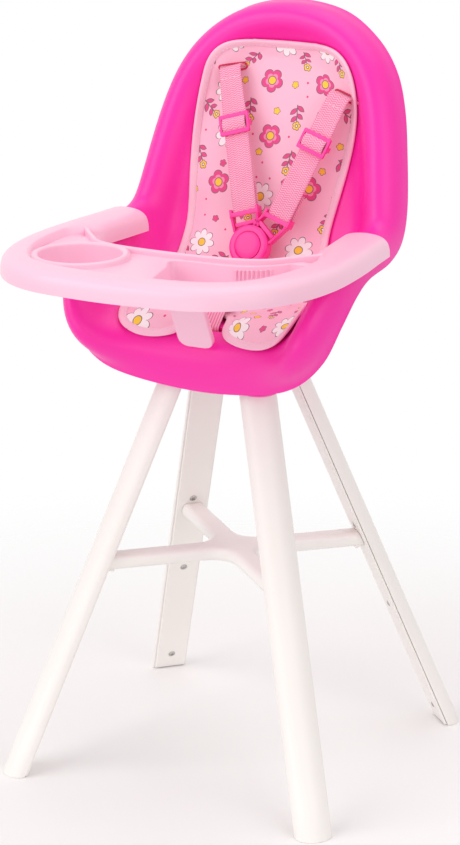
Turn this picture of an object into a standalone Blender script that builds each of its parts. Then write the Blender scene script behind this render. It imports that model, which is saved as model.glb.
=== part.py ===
"""Doll high chair: a moulded bucket seat on four splayed legs, with a lift-off tray,
a bound fabric pad and a harness with a push-button buckle.

Metres, +Z up. The origin is on the floor, below the middle of the chair's bounding box.
The front of the chair faces -Y, and the cup ring is on its -X side.
"""

import math

import bmesh
import bpy
import numpy as np
from mathutils import Matrix, Vector
from mathutils.bvhtree import BVHTree

# Overall sizes
CROWN_Z = 0.6135
SEAT_Z = 0.3780
ARM_EDGE_Z = 0.4240
APRON_Z = 0.3245
BACK_HALF_WIDTH = 0.1200
ARM_HALF_WIDTH = 0.1250
BACK_Y = 0.0450
BACK_SLOPE = 0.33
FRONT_Y = -0.0510

# Moulded walls and clearances
WALL = 0.0026
GAP = 0.0003
OVERRUN = 0.0100

# Rolled flange of the shell
FLANGE_WIDTH = 0.0280
FLANGE_RISE = 0.0280

# Legs
FOOT_X = 0.1386
FOOT_Y = 0.1320
LEG_LEAN = math.radians(23.1)
LEG_WIDTH = 0.0300
LEG_CHANNEL_DEPTH = 0.0132
LEG_TOP_Z = 0.3630
LEG_WALL = 0.0022
FOOT_PLUG = 0.0050
COVER_WIDTH = 0.0276
COVER_THICKNESS = 0.0020
COVER_EDGE = 0.0006
COVER_FOOT_Z = 0.0010
LEG_BOSS_RADIUS = 0.0034
LEG_SCREW_Z = (0.0180, 0.1160, 0.1900)

# Screws
SCREW_HEAD_RADIUS = 0.0028
SCREW_HEAD_HEIGHT = 0.0014
SCREW_SHANK_RADIUS = 0.0014
SCREW_LENGTH = 0.0080
SCREW_RECESS_RADIUS = 0.0007
SCREW_RECESS_DEPTH = 0.0008

# Leg hub
HUB_Z = 0.3240
HUB_HALF_X = 0.0552
HUB_HALF_Y = 0.0472
HUB_TOP_HALF_X = 0.0460
HUB_TOP_HALF_Y = 0.0310
HUB_CORNER = 0.0140
HUB_EDGE = 0.0020
HUB_SHOULDER = 0.0080
HUB_WELL_RADIUS = 0.0230
HUB_DECK = 0.0080
HUB_BOSS_CIRCLE = 0.0130
HUB_BOSS_RADIUS = 0.0040
HUB_BOSS_HEIGHT = 0.0045
HUB_NOTCH_HALF_WIDTH = 0.0175
HUB_NOTCH_Y = 0.0310
HUB_NOTCH_Z = 0.3560
SOCKET_GAP = 0.0004
HUB_TOP_GAP = 0.0009

# Leg brace
BRACE_Z = 0.1760
BRACE_WIDTH = 0.0180
BRACE_HEIGHT = 0.0125
BRACE_ROUND = 0.0042
BRACE_FILLET = 0.0200
BRACE_TONGUE_WIDTH = 0.0100
BRACE_TONGUE_HEIGHT = 0.0060
BRACE_TONGUE_LENGTH = 0.0070

# Tray
TRAY_CREST_Z = 0.4504
RAIL_HALF_X = 0.1155
RAIL_FRONT_Y = -0.1870
RAIL_HALF_WIDTH = 0.0215
RAIL_HEIGHT = 0.0175
SHELF_DROP = 0.0062
SHELF_TUCK = 0.0007
LIP_Y = -0.1010
LIP_HALF_X = 0.0935
LIP_THICKNESS = 0.0036
LIP_HEIGHT = 0.0045
LIP_ROUND = 0.0014
BASIN_DEPTH = 0.0230
BASIN_DRAFT = 0.0020
BASIN_FLOOR_RADIUS = 0.0030
CUP_X = -0.0640
CUP_Y = -0.1300
CUP_RADIUS = 0.0385
CUP_RING_WIDTH = 0.0060
CUP_RING_HEIGHT = 0.0042
CUP_DEPTH = 0.0190
CUP_DRAFT = 0.0035
CUP_FLOOR_RADIUS = 0.0045
RIB_COUNT = 9
RIB_PITCH = 0.0029
RIB_WIDTH = 0.0014
RIB_STAND = 0.0010
RIB_START_X = 0.0560
RIB_MARGIN = 0.0030

# Crotch post
POST_WIDTH = 0.0310
POST_THICKNESS = 0.0055
POST_FOOT_Y = -0.0600
POST_FOOT_Z = 0.3650
POST_HEAD_Z = 0.4440
POST_BEND_Z = 0.4330
POST_CORNER = 0.0075
POST_WALL = 0.0024
POST_EDGE = 0.0008

# Seat pad
PAD_THICKNESS = 0.0050
PAD_CROWN = 0.0030
PAD_TOP_Z = 0.5790
PAD_HALF_WIDTH = 0.0740
PAD_NOTCH_HALF_WIDTH = 0.0160
PAD_LIFT = 0.0010
PAD_FRONT_LIFT = 0.0016

# Harness
WEB_WIDTH = 0.0250
WEB_THICKNESS = 0.0014
STRAP_TOP_X = 0.0520
STRAP_TOP_Z = 0.5540
STRAP_TOP_STAND = 0.0201
STRAP_FOOT_X = 0.0190
STRAP_FOOT_Z = 0.4520
SLOT_LENGTH = 0.0290
SLOT_HEIGHT = 0.0045
STRAP_RETURN = 0.0260
STRAP_TAIL = 0.0280
BUCKLE_Z = 0.4250
BUCKLE_Y = 0.0320
BUCKLE_RADIUS = 0.0172
BUCKLE_THICKNESS = 0.0110
BUCKLE_BACK = 0.0040
BUCKLE_ROUND = 0.0020
BUCKLE_WEB = 0.0012
BUTTON_RADIUS = 0.0112
BUTTON_STAND = 0.0016
BUTTON_FLANGE = 0.0010
BUTTON_LIP = 0.0012
BUTTON_TRAVEL = 0.0015
BUTTON_CAP = 0.0016
BUTTON_CORE_RADIUS = 0.0064
SPRING_RADIUS = 0.0050
SPRING_WIRE = 0.0003
SPRING_TURNS = 2
SPRING_STEPS = 12
LOOP_BAR = 0.0026
TAB_WIDTH = 0.0320
TAB_DEPTH = 0.0095
TAB_SLOT = 0.0042
ADJUSTER_SHARE = 0.40
ADJUSTER_LENGTH = 0.0175
ADJUSTER_BAR = 0.0030
ADJUSTER_RIM = 0.0026
TONGUE_BAR = 0.0020
TONGUE_RIM = 0.0026
TONGUE_HEAD = 0.0085
PRONG_WIDTH = 0.0080
PRONG_THICKNESS = 0.0024
PRONG_LENGTH = 0.0090
PRONG_GAP = 0.0004
STOP_THICKNESS = 0.0020
STOP_RIM = 0.0030
HEM_THICKNESS = 0.0036
HEM_LENGTH = 0.0045

# Worked out from the sizes above
LEG_DEPTH = LEG_CHANNEL_DEPTH + GAP + COVER_THICKNESS
PAN_UNDERSIDE = SEAT_Z - WALL
HUB_TOP_Z = PAN_UNDERSIDE - HUB_TOP_GAP
SHELF_Z = TRAY_CREST_Z - SHELF_DROP
SKIRT_Z = TRAY_CREST_Z - RAIL_HEIGHT

# The shell's rim, as shares: across by the half width and up the back by its height
BACK_RIM_SHARES = ((0, 1), (0.35, 0.972), (0.61, 0.892), (0.783, 0.79), (0.883, 0.667), (0.95, 0.51), (1, 0.348))
# across by the arms' half width, forward from the back to the front, up from apron to arm edge
FRONT_RIM_SHARES = (
    (0.976, -0.135, 1.12),
    (0.992, 0.156, 1.01),
    (1, 0.573, 0.97),
    (1, 0.81, 0.88),
    (0.975, 1.01, 0.69),
    (0.88, 1.1, 0.4),
    (0.71, 1.14, 0.19),
    (0.45, 1.09, 0.07),
    (0, 1.02, 0),
)
# Degrees that the flange leans, from the back's rim round to the middle of the apron
RIM_PITCH = (50, 85, 90, 65, 25, 6, 0, 0, 0)
PAN_PITCH = (25, 45, 75, 90, 90, 90, 90, 90, 90)

# Sections of the flange as shares of its width and rise, from the free edge to the wall's foot
BACK_SECTION_SHARES = ((0, 0), (0.05, 0.46), (0.32, 0.86), (0.68, 1), (1, 0.79), (1.25, 0.36), (1.57, 0.07))
ARM_SECTION_SHARES = ((0, 0), (0.04, 0.39), (0.21, 0.71), (0.54, 0.86), (0.86, 0.66), (1.11, 0.07), (1.36, -0.86))
CORNER_SECTION_SHARES = ((0, 0), (0.02, 0.5), (0.18, 0.96), (0.46, 1.25), (0.79, 1.11), (1.04, 0.57), (1.21, -0.14))
VALLEY_SECTION_SHARES = ((0, 0), (0.14, 0.32), (0.36, 0.61), (0.64, 0.64), (0.96, 0.36), (1.25, 0), (1.54, -0.43))
APRON_SECTION_SHARES = ((0, 0), (0.32, 0.09), (0.71, 0.18), (1.11, 0.16), (1.41, 0.02), (1.64, -0.21), (1.82, -0.5))
# The middle line of the shell: up the back, then forward along the seat and above it
BACK_SPINE_SHARES = (0.824, 0.798, 0.739, 0.667, 0.56, 0.433, 0.306, 0.2)
SEAT_SPINE_SHARES = ((-0.03, 0.71), (0.094, 0.18), (0.219, 0.036), (0.323, 0), (0.417, 0), (0.5, 0), (0.563, 0), (0.594, 0))
RELAX_SHARE = 0.6
FLOOR_SHARE = 0.66
FLOOR_LEVEL_SHARE = 0.06

# Half outline of a leg's section: shares of the channel's depth and of the leg's width
LEG_SECTION_SHARES = ((0, 0.5), (0.25, 0.5), (0.5, 0.457), (0.72, 0.372), (0.88, 0.25), (0.97, 0.12))

# The rail's crest, across by its half width and back from its front by its length
RAIL_LENGTH = 0.2050
RAIL_PATH_SHARES = (
    (0, 0),
    (0.39, 0.015),
    (0.606, 0.044),
    (0.779, 0.102),
    (0.9, 0.2),
    (0.97, 0.317),
    (1, 0.449),
    (1, 0.571),
    (0.983, 0.717),
    (0.952, 0.863),
    (0.926, 1),
)
# Shares of the rail's half width and height, outer skirt to crest, then down the inner side
RAIL_OUTER_SHARES = ((1, -1), (0.977, -0.63), (0.86, -0.3), (0.56, -0.086), (0, 0))
RAIL_ARM_SHARES = ((-0.56, -0.086), (-0.86, -0.3), (-0.977, -0.63), (-1, -1))
RAIL_DECK_SHARES = ((-0.14, -0.06), (-0.27, -0.26), (-0.39, -0.354), (-1, -0.354))
RAIL_WIDTH_SHARES = (0.86, 0.86, 0.86, 0.82, 0.9, 0.97, 1, 1, 1, 1, 1)
RAIL_BLEND_SHARES = (0, 0, 0, 0, 0, 0, 0, 0, 1, 1, 1)
# How far along the rear lip's path the shelf reaches from each station of the rail
DECK_REACH_SHARES = (0, 0.12, 0.24, 0.37, 0.5, 0.62, 0.7, 0.76)
DECK_TUCK_SHARE = 0.4
# The rear lip, across by its half width and forward of its rear end by its depth
LIP_REACH = 0.0610
LIP_PATH_SHARES = ((0, 0), (0.32, 0.016), (0.588, 0.066), (0.8, 0.197), (0.941, 0.426), (1.05, 0.62), (1.16, 0.82))
# The basin's outline inside the rail, across by the rail's half width and back by its length
BASIN_SHARES = (
    (0.045, 0.4),
    (0.45, 0.417),
    (0.62, 0.454),
    (0.736, 0.512),
    (0.788, 0.544),
    (0.892, 0.537),
    (0.925, 0.449),
    (0.892, 0.327),
    (0.822, 0.22),
    (0.71, 0.141),
    (0.52, 0.083),
    (0.303, 0.059),
    (0.19, 0.056),
    (0.135, 0.17),
    (0.085, 0.29),
)

# The pad's rows: share of the way up the back, and outer edge as a share of its half width
PAD_BACK_SHARES = (
    (1, 0.40), (0.982, 0.60), (0.95, 0.755), (0.9, 0.865), (0.83, 0.93),
    (0.74, 0.965), (0.64, 0.98), (0.54, 0.985), (0.44, 0.985), (0.34, 0.985), (0.25, 0.985),
)
# Further rows: forward from back to front, up by the flange's rise, degrees of lean, and outer edge
PAD_SEAT_SHARES = (
    (-0.06, 0.86, 32, 0.985), (0.02, 0.36, 52, 0.985), (0.13, 0.12, 74, 0.985), (0.27, 0.02, 88, 0.99),
    (0.42, 0, 90, 1), (0.57, 0, 90, 1.02), (0.70, 0, 90, 1.05),
)
# Rows in front of the notch's top: the same, then the notch's edge as a share of its half width
PAD_LOBE_SHARES = (
    (0.79, 0, 86, 1.04, 0.7), (0.86, -0.03, 74, 1.04, 1), (0.93, -0.12, 56, 1.02, 1.06),
    (0.98, -0.26, 36, 0.98, 1.12), (1, -0.38, 20, 0.9, 1.4), (1, -0.47, 12, 0.76, 2.1),
)
PAD_ACROSS_SHARES = (0, 0.14, 0.28, 0.42, 0.56, 0.69, 0.81, 0.91, 0.97, 1)
PAD_EDGE_SHARE = 0.34
# Seat end of the crotch strap: forward by the shell's depth, and up by the flange's rise
CROTCH_ROUTE_SHARES = ((0.36, 0.5), (0.49, 0.48), (0.62, 0.475), (0.755, 0.455), (0.83, 0.29))


def clear_scene():
    for obj in list(bpy.data.objects):
        bpy.data.objects.remove(obj, do_unlink=True)


def new_collection(name):
    collection = bpy.data.collections.new(name)
    bpy.context.scene.collection.children.link(collection)
    return collection


def linear(level):
    """Scene-linear value of a display level between 0 and 255."""
    share = level / 255
    return share / 12.92 if share <= 0.04045 else ((share + 0.055) / 1.055) ** 2.4


def new_material(name, levels, roughness, metallic=0.0):
    material = bpy.data.materials.new(name)
    material.use_nodes = True
    surface = material.node_tree.nodes["Principled BSDF"]
    colour = [linear(level) for level in levels]
    surface.inputs["Base Color"].default_value = (*colour, 1)
    surface.inputs["Roughness"].default_value = roughness
    surface.inputs["Metallic"].default_value = metallic
    material.diffuse_color = (*colour, 1)
    return material


clear_scene()
PARTS = new_collection("doll_high_chair")
CUTTERS = new_collection("cutters")
MAGENTA = new_material("magenta_plastic", (255, 58, 165), 0.32)
PALE_PINK = new_material("pale_pink_plastic", (254, 211, 231), 0.3)
WHITE = new_material("white_plastic", (245, 241, 238), 0.38)
STEEL = new_material("steel", (196, 194, 190), 0.3, 1.0)
PAD_FABRIC = new_material("pad_fabric", (255, 205, 222), 0.85)
WEBBING = new_material("webbing", (255, 140, 185), 0.8)
HARDWARE = new_material("harness_plastic", (254, 70, 163), 0.34)


# Mesh helpers


def mesh_object(name, bm, material=None, matrix=None):
    """An object from a bmesh: a part when it has a material, or else a cutter."""
    bmesh.ops.recalc_face_normals(bm, faces=bm.faces)
    mesh = bpy.data.meshes.new(name)
    bm.to_mesh(mesh)
    bm.free()
    obj = bpy.data.objects.new(name, mesh)
    obj.matrix_world = matrix or Matrix()
    if material:
        mesh.materials.append(material)
        PARTS.objects.link(obj)
    else:
        CUTTERS.objects.link(obj)
        obj.hide_render = True
        obj.display_type = "WIRE"
    return obj


def loft(name, rings, material=None, matrix=None, looped=False):
    """A closed solid through rings of as many points each, capped at both ends."""
    bm = bmesh.new()
    rows = [[bm.verts.new(point) for point in ring] for ring in rings]
    pairs = list(zip(rows, rows[1:]))
    if looped:
        pairs.append((rows[-1], rows[0]))
    for lower, upper in pairs:
        for index in range(len(lower)):
            other = (index + 1) % len(lower)
            bm.faces.new((lower[index], lower[other], upper[other], upper[index]))
    if not looped:
        bm.faces.new(rows[0])
        bm.faces.new(rows[-1])
    return mesh_object(name, bm, material, matrix)


def box(name, low, high, material=None, matrix=None):
    """A box between two corners, in the matrix's own axes."""
    size = Vector(high) - Vector(low)
    middle = (Vector(high) + Vector(low)) / 2
    bm = bmesh.new()
    bmesh.ops.create_cube(bm, size=1, matrix=Matrix.Translation(middle) @ Matrix.Diagonal((*size, 1)))
    return mesh_object(name, bm, material, matrix)


def rod(name, radius, low, high, material=None, matrix=None, sides=16, end_radius=None):
    """A cylinder or cone along the matrix's own Z, from low to high."""
    bm = bmesh.new()
    lift = Matrix.Translation((0, 0, (low + high) / 2))
    top = radius if end_radius is None else end_radius
    bmesh.ops.create_cone(
        bm, cap_ends=True, segments=sides, radius1=radius, radius2=top, depth=high - low, matrix=lift
    )
    return mesh_object(name, bm, material, matrix)


def settle(obj):
    """Keep the evaluated mesh as the object's own, so that copies can share it."""
    bpy.context.view_layer.update()
    graph = bpy.context.evaluated_depsgraph_get()
    mesh = bpy.data.meshes.new_from_object(obj.evaluated_get(graph))
    obj.modifiers.clear()
    obj.data = mesh
    return obj


def combine(obj, tool, operation="DIFFERENCE"):
    """Cut the tool out of the object, or join it on."""
    if tool.name not in CUTTERS.objects:
        PARTS.objects.unlink(tool)
        CUTTERS.objects.link(tool)
        tool.hide_render = True
        tool.display_type = "WIRE"
    modifier = obj.modifiers.new(tool.name, "BOOLEAN")
    modifier.operation = operation
    modifier.solver = "EXACT"
    modifier.object = tool
    return obj


def cut(obj, *tools):
    for tool in tools:
        combine(obj, tool)
    return obj


def join(obj, *tools):
    for tool in tools:
        combine(obj, tool, "UNION")
    return obj


def plate(name, outline, low, high, material=None, matrix=None):
    """A flat outline filled as a 2D curve, with its underside at low and its top at high."""
    curve = bpy.data.curves.new(name, "CURVE")
    curve.dimensions = "2D"
    curve.fill_mode = "BOTH"
    curve.extrude = (high - low) / 2
    spline = curve.splines.new("POLY")
    spline.points.add(len(outline) - 1)
    for point, (x, y) in zip(spline.points, outline):
        point.co = (x, y, 0, 1)
    spline.use_cyclic_u = True
    guide = bpy.data.objects.new(name, curve)
    CUTTERS.objects.link(guide)
    guide.matrix_world = (matrix or Matrix()) @ Matrix.Translation((0, 0, (high + low) / 2))
    bpy.context.view_layer.update()
    graph = bpy.context.evaluated_depsgraph_get()
    bm = bmesh.new()
    bm.from_mesh(bpy.data.meshes.new_from_object(guide.evaluated_get(graph)))
    bmesh.ops.remove_doubles(bm, verts=bm.verts, dist=GAP / 30)
    place = guide.matrix_world.copy()
    bpy.data.objects.remove(guide, do_unlink=True)
    return mesh_object(name, bm, material, place)


def soften(obj, width, degrees=50, segments=2):
    """Round the object's sharp edges."""
    modifier = obj.modifiers.new("rounded_edges", "BEVEL")
    modifier.width = width
    modifier.segments = segments
    modifier.limit_method = "ANGLE"
    modifier.angle_limit = math.radians(degrees)
    modifier.harden_normals = False
    return obj


def smooth(obj, degrees=35):
    """Shade rounded faces smooth and keep the sharp edges."""
    settle(obj)
    obj.data.shade_smooth()
    obj.data.set_sharp_from_angle(angle=math.radians(degrees))
    return obj


def copy_of(obj, name, matrix):
    twin = bpy.data.objects.new(name, obj.data)
    PARTS.objects.link(twin)
    twin.matrix_world = matrix
    return twin


def mix(first, second, share):
    """Points part of the way from one table to the other."""
    return [tuple(a + (b - a) * share for a, b in zip(p, q)) for p, q in zip(first, second)]


def refine(rows, steps, before, after):
    """Rows of a smooth surface or curve through the given rows, with a ghost row at each end."""
    padded = np.concatenate([before[None], rows, after[None]])
    finer = []
    for index in range(len(rows) - 1):
        p0, p1, p2, p3 = padded[index : index + 4]
        for step in range(steps):
            t = step / steps
            bend = (3 * p1 - p0 - 3 * p2 + p3) * t**3
            finer.append(0.5 * (2 * p1 + (p2 - p0) * t + (2 * p0 - 5 * p1 + 4 * p2 - p3) * t**2 + bend))
    finer.append(rows[-1])
    return np.array(finer)


def smooth_path(points, steps):
    """A smooth open curve through the points."""
    rows = np.array(points, float)
    return refine(rows, steps, 2 * rows[0] - rows[1], 2 * rows[-1] - rows[-2])


def smooth_outline(points, steps):
    """A smooth closed curve through the points."""
    rows = np.array(list(points) + [points[0]], float)
    return refine(rows, steps, rows[-2], rows[1])[:-1]


def inset(outline, distance):
    """The closed outline moved inward by a distance, or outward by a negative one."""
    points = np.array(outline, float)
    ahead = np.roll(points, -1, axis=0) - points
    ahead /= np.linalg.norm(ahead, axis=1)[:, None]
    behind = np.roll(ahead, 1, axis=0)
    area = np.sum(points[:, 0] * np.roll(points[:, 1], -1) - np.roll(points[:, 0], -1) * points[:, 1])
    turn = 1 if area > 0 else -1
    normal = ahead + behind
    normal /= np.linalg.norm(normal, axis=1)[:, None]
    miter = np.maximum(np.sum(normal * ahead, axis=1), 0.4)
    inward = np.stack([-normal[:, 1], normal[:, 0]], axis=1) * turn
    return points + inward * (distance / miter)[:, None]


def at_height(outline, z):
    return [(x, y, z) for x, y in outline]


def circle(radius, sides, centre=(0, 0)):
    turns = [2 * math.pi * index / sides for index in range(sides)]
    return [(centre[0] + radius * math.cos(turn), centre[1] + radius * math.sin(turn)) for turn in turns]


def rounded_rectangle(half_x, half_y, corner, steps=4):
    outline = []
    for side, (sx, sy) in enumerate(((1, 1), (-1, 1), (-1, -1), (1, -1))):
        for step in range(steps + 1):
            angle = (side + step / steps) * math.pi / 2
            x = sx * (half_x - corner) + corner * math.cos(angle)
            outline.append((x, sy * (half_y - corner) + corner * math.sin(angle)))
    return outline


def turned(name, profile, material=None, matrix=None, steps=32):
    """A turned shape from its profile of radius and height, listed down its outer side."""
    mesh = bpy.data.meshes.new(name)
    points = [(radius, 0, height) for radius, height in profile]
    mesh.from_pydata(points, [(index, index + 1) for index in range(len(points) - 1)], [])
    obj = bpy.data.objects.new(name, mesh)
    CUTTERS.objects.link(obj)
    obj.matrix_world = matrix or Matrix()
    screw = obj.modifiers.new("turn", "SCREW")
    screw.steps = steps
    screw.render_steps = steps
    screw.use_merge_vertices = True
    screw.merge_threshold = GAP / 30
    bpy.context.view_layer.update()
    graph = bpy.context.evaluated_depsgraph_get()
    bm = bmesh.new()
    bm.from_mesh(bpy.data.meshes.new_from_object(obj.evaluated_get(graph)))
    bmesh.ops.remove_doubles(bm, verts=bm.verts, dist=GAP / 30)
    bpy.data.objects.remove(obj, do_unlink=True)
    return mesh_object(name, bm, material, matrix)


# Seat shell


def lean_y(z):
    """Depth of the back's edge plane at a height."""
    return BACK_Y + BACK_SLOPE * (z - SEAT_Z)


def rim_points():
    height = CROWN_Z - SEAT_Z
    points = []
    for across, up in BACK_RIM_SHARES:
        z = SEAT_Z + up * height
        points.append((across * BACK_HALF_WIDTH, lean_y(z), z))
    for across, forward, up in FRONT_RIM_SHARES:
        y = BACK_Y + forward * (FRONT_Y - BACK_Y)
        points.append((across * ARM_HALF_WIDTH, y, APRON_Z + up * (ARM_EDGE_Z - APRON_Z)))
    return np.array(points)


def spine_points():
    points = []
    for up in BACK_SPINE_SHARES:
        z = SEAT_Z + up * (CROWN_Z - SEAT_Z)
        points.append((0, lean_y(z), z))
    for forward, up in SEAT_SPINE_SHARES:
        points.append((0, BACK_Y + forward * (FRONT_Y - BACK_Y), SEAT_Z + up * FLANGE_RISE))
    return np.array(points)


def tilted(degrees):
    """Unit normal in the middle plane: level and forward at 0 degrees, upright at 90."""
    angle = math.radians(degrees)
    return np.array((0, -math.cos(angle), math.sin(angle)))


def shell_sections():
    back = [BACK_SECTION_SHARES] * len(BACK_RIM_SHARES)
    front = [
        mix(BACK_SECTION_SHARES, ARM_SECTION_SHARES, 0.5),
        ARM_SECTION_SHARES,
        ARM_SECTION_SHARES,
        mix(ARM_SECTION_SHARES, CORNER_SECTION_SHARES, 0.5),
        CORNER_SECTION_SHARES,
        CORNER_SECTION_SHARES,
        VALLEY_SECTION_SHARES,
        APRON_SECTION_SHARES,
        APRON_SECTION_SHARES,
    ]
    return back + front


def shell_net():
    """Half of the shell's inner surface: stations round the rim, each from free edge to middle."""
    rim = rim_points()
    spine = spine_points()
    flip = np.array((-1, 1, 1))
    around = np.concatenate([(rim[1] * flip)[None], rim, (rim[-2] * flip)[None]])
    lean = math.degrees(math.atan(BACK_SLOPE))
    pitches = [lean] * len(BACK_RIM_SHARES) + list(RIM_PITCH)
    pans = [lean] * len(BACK_RIM_SHARES) + list(PAN_PITCH)
    rows = []
    for index, section in enumerate(shell_sections()):
        normal = tilted(pitches[index])
        inward = np.cross(around[index + 2] - around[index], normal)
        inward /= np.linalg.norm(inward)
        row = [rim[index] + inward * w * FLANGE_WIDTH + normal * h * FLANGE_RISE for w, h in section]
        reach = row[-1] - spine[index]
        level = tilted(pans[index])
        drop = (FLOOR_SHARE - FLOOR_LEVEL_SHARE) * np.dot(reach, level)
        row.append(spine[index] + reach * FLOOR_SHARE - level * drop)
        row.append(spine[index])
        rows.append(row)
    return np.array(rows)


def relaxed(grid, rounds):
    """The grid with its inner points drawn toward their neighbours, its middle line kept in its plane."""
    for _ in range(rounds):
        wide = np.concatenate([grid[1:2] * (-1, 1, 1), grid, grid[-2:-1] * (-1, 1, 1)])
        beside = (wide[:-2] + wide[2:]) / 2
        beside[:, 1:-1] = (beside[:, 1:-1] + (grid[:, :-2] + grid[:, 2:]) / 2) / 2
        beside[:, 0] = grid[:, 0]
        beside[:, -1] = grid[:, -1]
        grid = grid + (beside - grid) * RELAX_SHARE
    return grid


def shell_surface(steps):
    """The net refined both ways into a smooth half surface."""
    net = shell_net()
    flip = np.array((-1, 1, 1))
    along = refine(net, steps, net[1] * flip, net[-2] * flip)
    across = np.swapaxes(along, 0, 1)
    fine = refine(across, steps, 2 * across[0] - across[1], across[-2] * flip)
    return relaxed(np.swapaxes(fine, 0, 1), steps**2)


def sheet_from(surface, name, material=None):
    """An open sheet over a grid of points."""
    rows, columns = surface.shape[:2]
    bm = bmesh.new()
    grid = [[bm.verts.new(surface[i, j]) for j in range(columns)] for i in range(rows)]
    for i in range(rows - 1):
        for j in range(columns - 1):
            bm.faces.new((grid[i][j], grid[i + 1][j], grid[i + 1][j + 1], grid[i][j + 1]))
    bmesh.ops.remove_doubles(bm, verts=bm.verts, dist=GAP / 30)
    return mesh_object(name, bm, material)


def face_toward(obj, direction):
    """Turn the sheet's faces so that most of them look along the direction."""
    total = sum((face.normal * face.area for face in obj.data.polygons), Vector())
    if total.dot(Vector(direction)) < 0:
        obj.data.flip_normals()
    return obj


def mirrored(obj):
    modifier = obj.modifiers.new("mirror", "MIRROR")
    modifier.use_axis = (True, False, False)
    modifier.merge_threshold = GAP / 10
    modifier.use_mirror_merge = True
    return obj


def thickened(obj, thickness, offset):
    modifier = obj.modifiers.new("wall", "SOLIDIFY")
    modifier.thickness = thickness
    modifier.offset = offset
    modifier.use_even_offset = True
    modifier.thickness_clamp = 0
    return obj


def strap_frames():
    """Axes of the harness plane, and of each shoulder strap in it with its length."""
    top_y = lean_y(STRAP_TOP_Z) - STRAP_TOP_STAND
    up = Vector((0, top_y - BUCKLE_Y, STRAP_TOP_Z - BUCKLE_Z))
    rise = up.normalized()
    out = Vector((1, 0, 0)).cross(rise)
    harness = Matrix((Vector((1, 0, 0)), rise, out)).transposed().to_4x4()
    harness.translation = (0, BUCKLE_Y, BUCKLE_Z)
    top = up.length
    foot = (STRAP_FOOT_Z - BUCKLE_Z) / rise.z
    spread = math.atan2(STRAP_TOP_X - STRAP_FOOT_X, top - foot)
    length = math.hypot(STRAP_TOP_X - STRAP_FOOT_X, top - foot)
    frames = {}
    for side, name in ((-1, "left"), (1, "right")):
        place = Matrix.Translation((side * STRAP_FOOT_X, foot, 0))
        frames[name] = harness @ place @ Matrix.Rotation(-side * spread, 4, "Z")
    return harness, frames, length


def crotch_slot_matrix():
    """Axes at the slot in the front of the pan: Z stands off the surface, Y runs up it."""
    row = shell_surface(2)[-1]
    low, high = Vector(row[10]), Vector(row[12])
    along = (high - low).normalized()
    out = Vector((1, 0, 0)).cross(along)
    matrix = Matrix((Vector((1, 0, 0)), along, out)).transposed().to_4x4()
    matrix.translation = (low + high) / 2
    return matrix


def slot_cutter(name, matrix, depth):
    half = SLOT_LENGTH / 2
    rise = SLOT_HEIGHT / 2
    tool = box(name, (-half, -rise, -depth), (half, rise, depth), matrix=matrix)
    return tool


def boss_places():
    return [
        (HUB_BOSS_CIRCLE * math.cos(turn), HUB_BOSS_CIRCLE * math.sin(turn))
        for turn in (math.pi / 4, 3 * math.pi / 4, 5 * math.pi / 4, 7 * math.pi / 4)
    ]


def seat_shell(strap_slots, crotch_slot):
    shell = face_toward(sheet_from(shell_surface(2), "seat_shell", MAGENTA), (0, -1, 1))
    thickened(mirrored(shell), WALL, -1)
    shell.modifiers["wall"].use_even_offset = False
    settle(shell)
    boss_foot = PAN_UNDERSIDE - HUB_BOSS_HEIGHT
    for index, (x, y) in enumerate(boss_places()):
        place = Matrix.Translation((x, y, 0))
        low, high = boss_foot, SEAT_Z - WALL / 2
        join(shell, rod(f"pan_boss_{index}", HUB_BOSS_RADIUS, low, high, matrix=place))
        bore = SCREW_SHANK_RADIUS + GAP
        cut(shell, rod(f"pan_bore_{index}", bore, boss_foot - OVERRUN, PAN_UNDERSIDE + GAP, matrix=place, sides=8))
    cut(shell, *strap_slots, crotch_slot)
    return smooth(shell, 50)


# Legs


def leg_outline(grow=0.0, closed=False):
    """Section of a leg: depth from its axis, outward, and width. It can be offset by a clearance."""
    rim = LEG_DEPTH / 2 - LEG_CHANNEL_DEPTH
    half = [(rim + depth * LEG_CHANNEL_DEPTH, width * LEG_WIDTH) for depth, width in LEG_SECTION_SHARES]
    if closed:
        half[0] = (-LEG_DEPTH / 2, LEG_WIDTH / 2)
    outline = half + [(LEG_DEPTH / 2, 0)] + [(depth, -width) for depth, width in reversed(half)]
    return inset(outline, -grow) if grow else np.array(outline)


def leg_ring(outline, z):
    """The section laid level at a height on the leaning axis."""
    shift = math.tan(LEG_LEAN) * z
    return [(depth / math.cos(LEG_LEAN) - shift, width, z) for depth, width in outline]


def leg_bore_matrix(z):
    """Axes at a height on the leg's axis: Z points out through the leg's back."""
    matrix = Matrix.Translation((-math.tan(LEG_LEAN) * z, 0, z))
    return matrix @ Matrix.Rotation(math.pi / 2 - LEG_LEAN, 4, "Y")


def leg_channel():
    rim = LEG_DEPTH / 2 - LEG_CHANNEL_DEPTH
    leg = loft("leg", [leg_ring(leg_outline(), 0), leg_ring(leg_outline(), LEG_TOP_Z)], WHITE)
    hollow = inset(leg_outline(), LEG_WALL)
    hollow[0][0] = hollow[-1][0] = rim - OVERRUN
    rings = [leg_ring(hollow, FOOT_PLUG), leg_ring(hollow, LEG_TOP_Z - LEG_WALL)]
    cut(leg, loft("leg_hollow", rings))
    wall = LEG_DEPTH / 2 - LEG_WALL / 2
    for index, z in enumerate(LEG_SCREW_Z):
        matrix = leg_bore_matrix(z)
        join(leg, rod(f"leg_boss_{index}", LEG_BOSS_RADIUS, rim, wall, matrix=matrix, sides=10))
        tip = -LEG_DEPTH / 2 + SCREW_LENGTH + COVER_THICKNESS / 2
        bore = SCREW_SHANK_RADIUS + GAP
        cut(leg, rod(f"leg_bore_{index}", bore, rim - OVERRUN, tip, matrix=matrix, sides=8))
    return smooth(leg)


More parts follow.
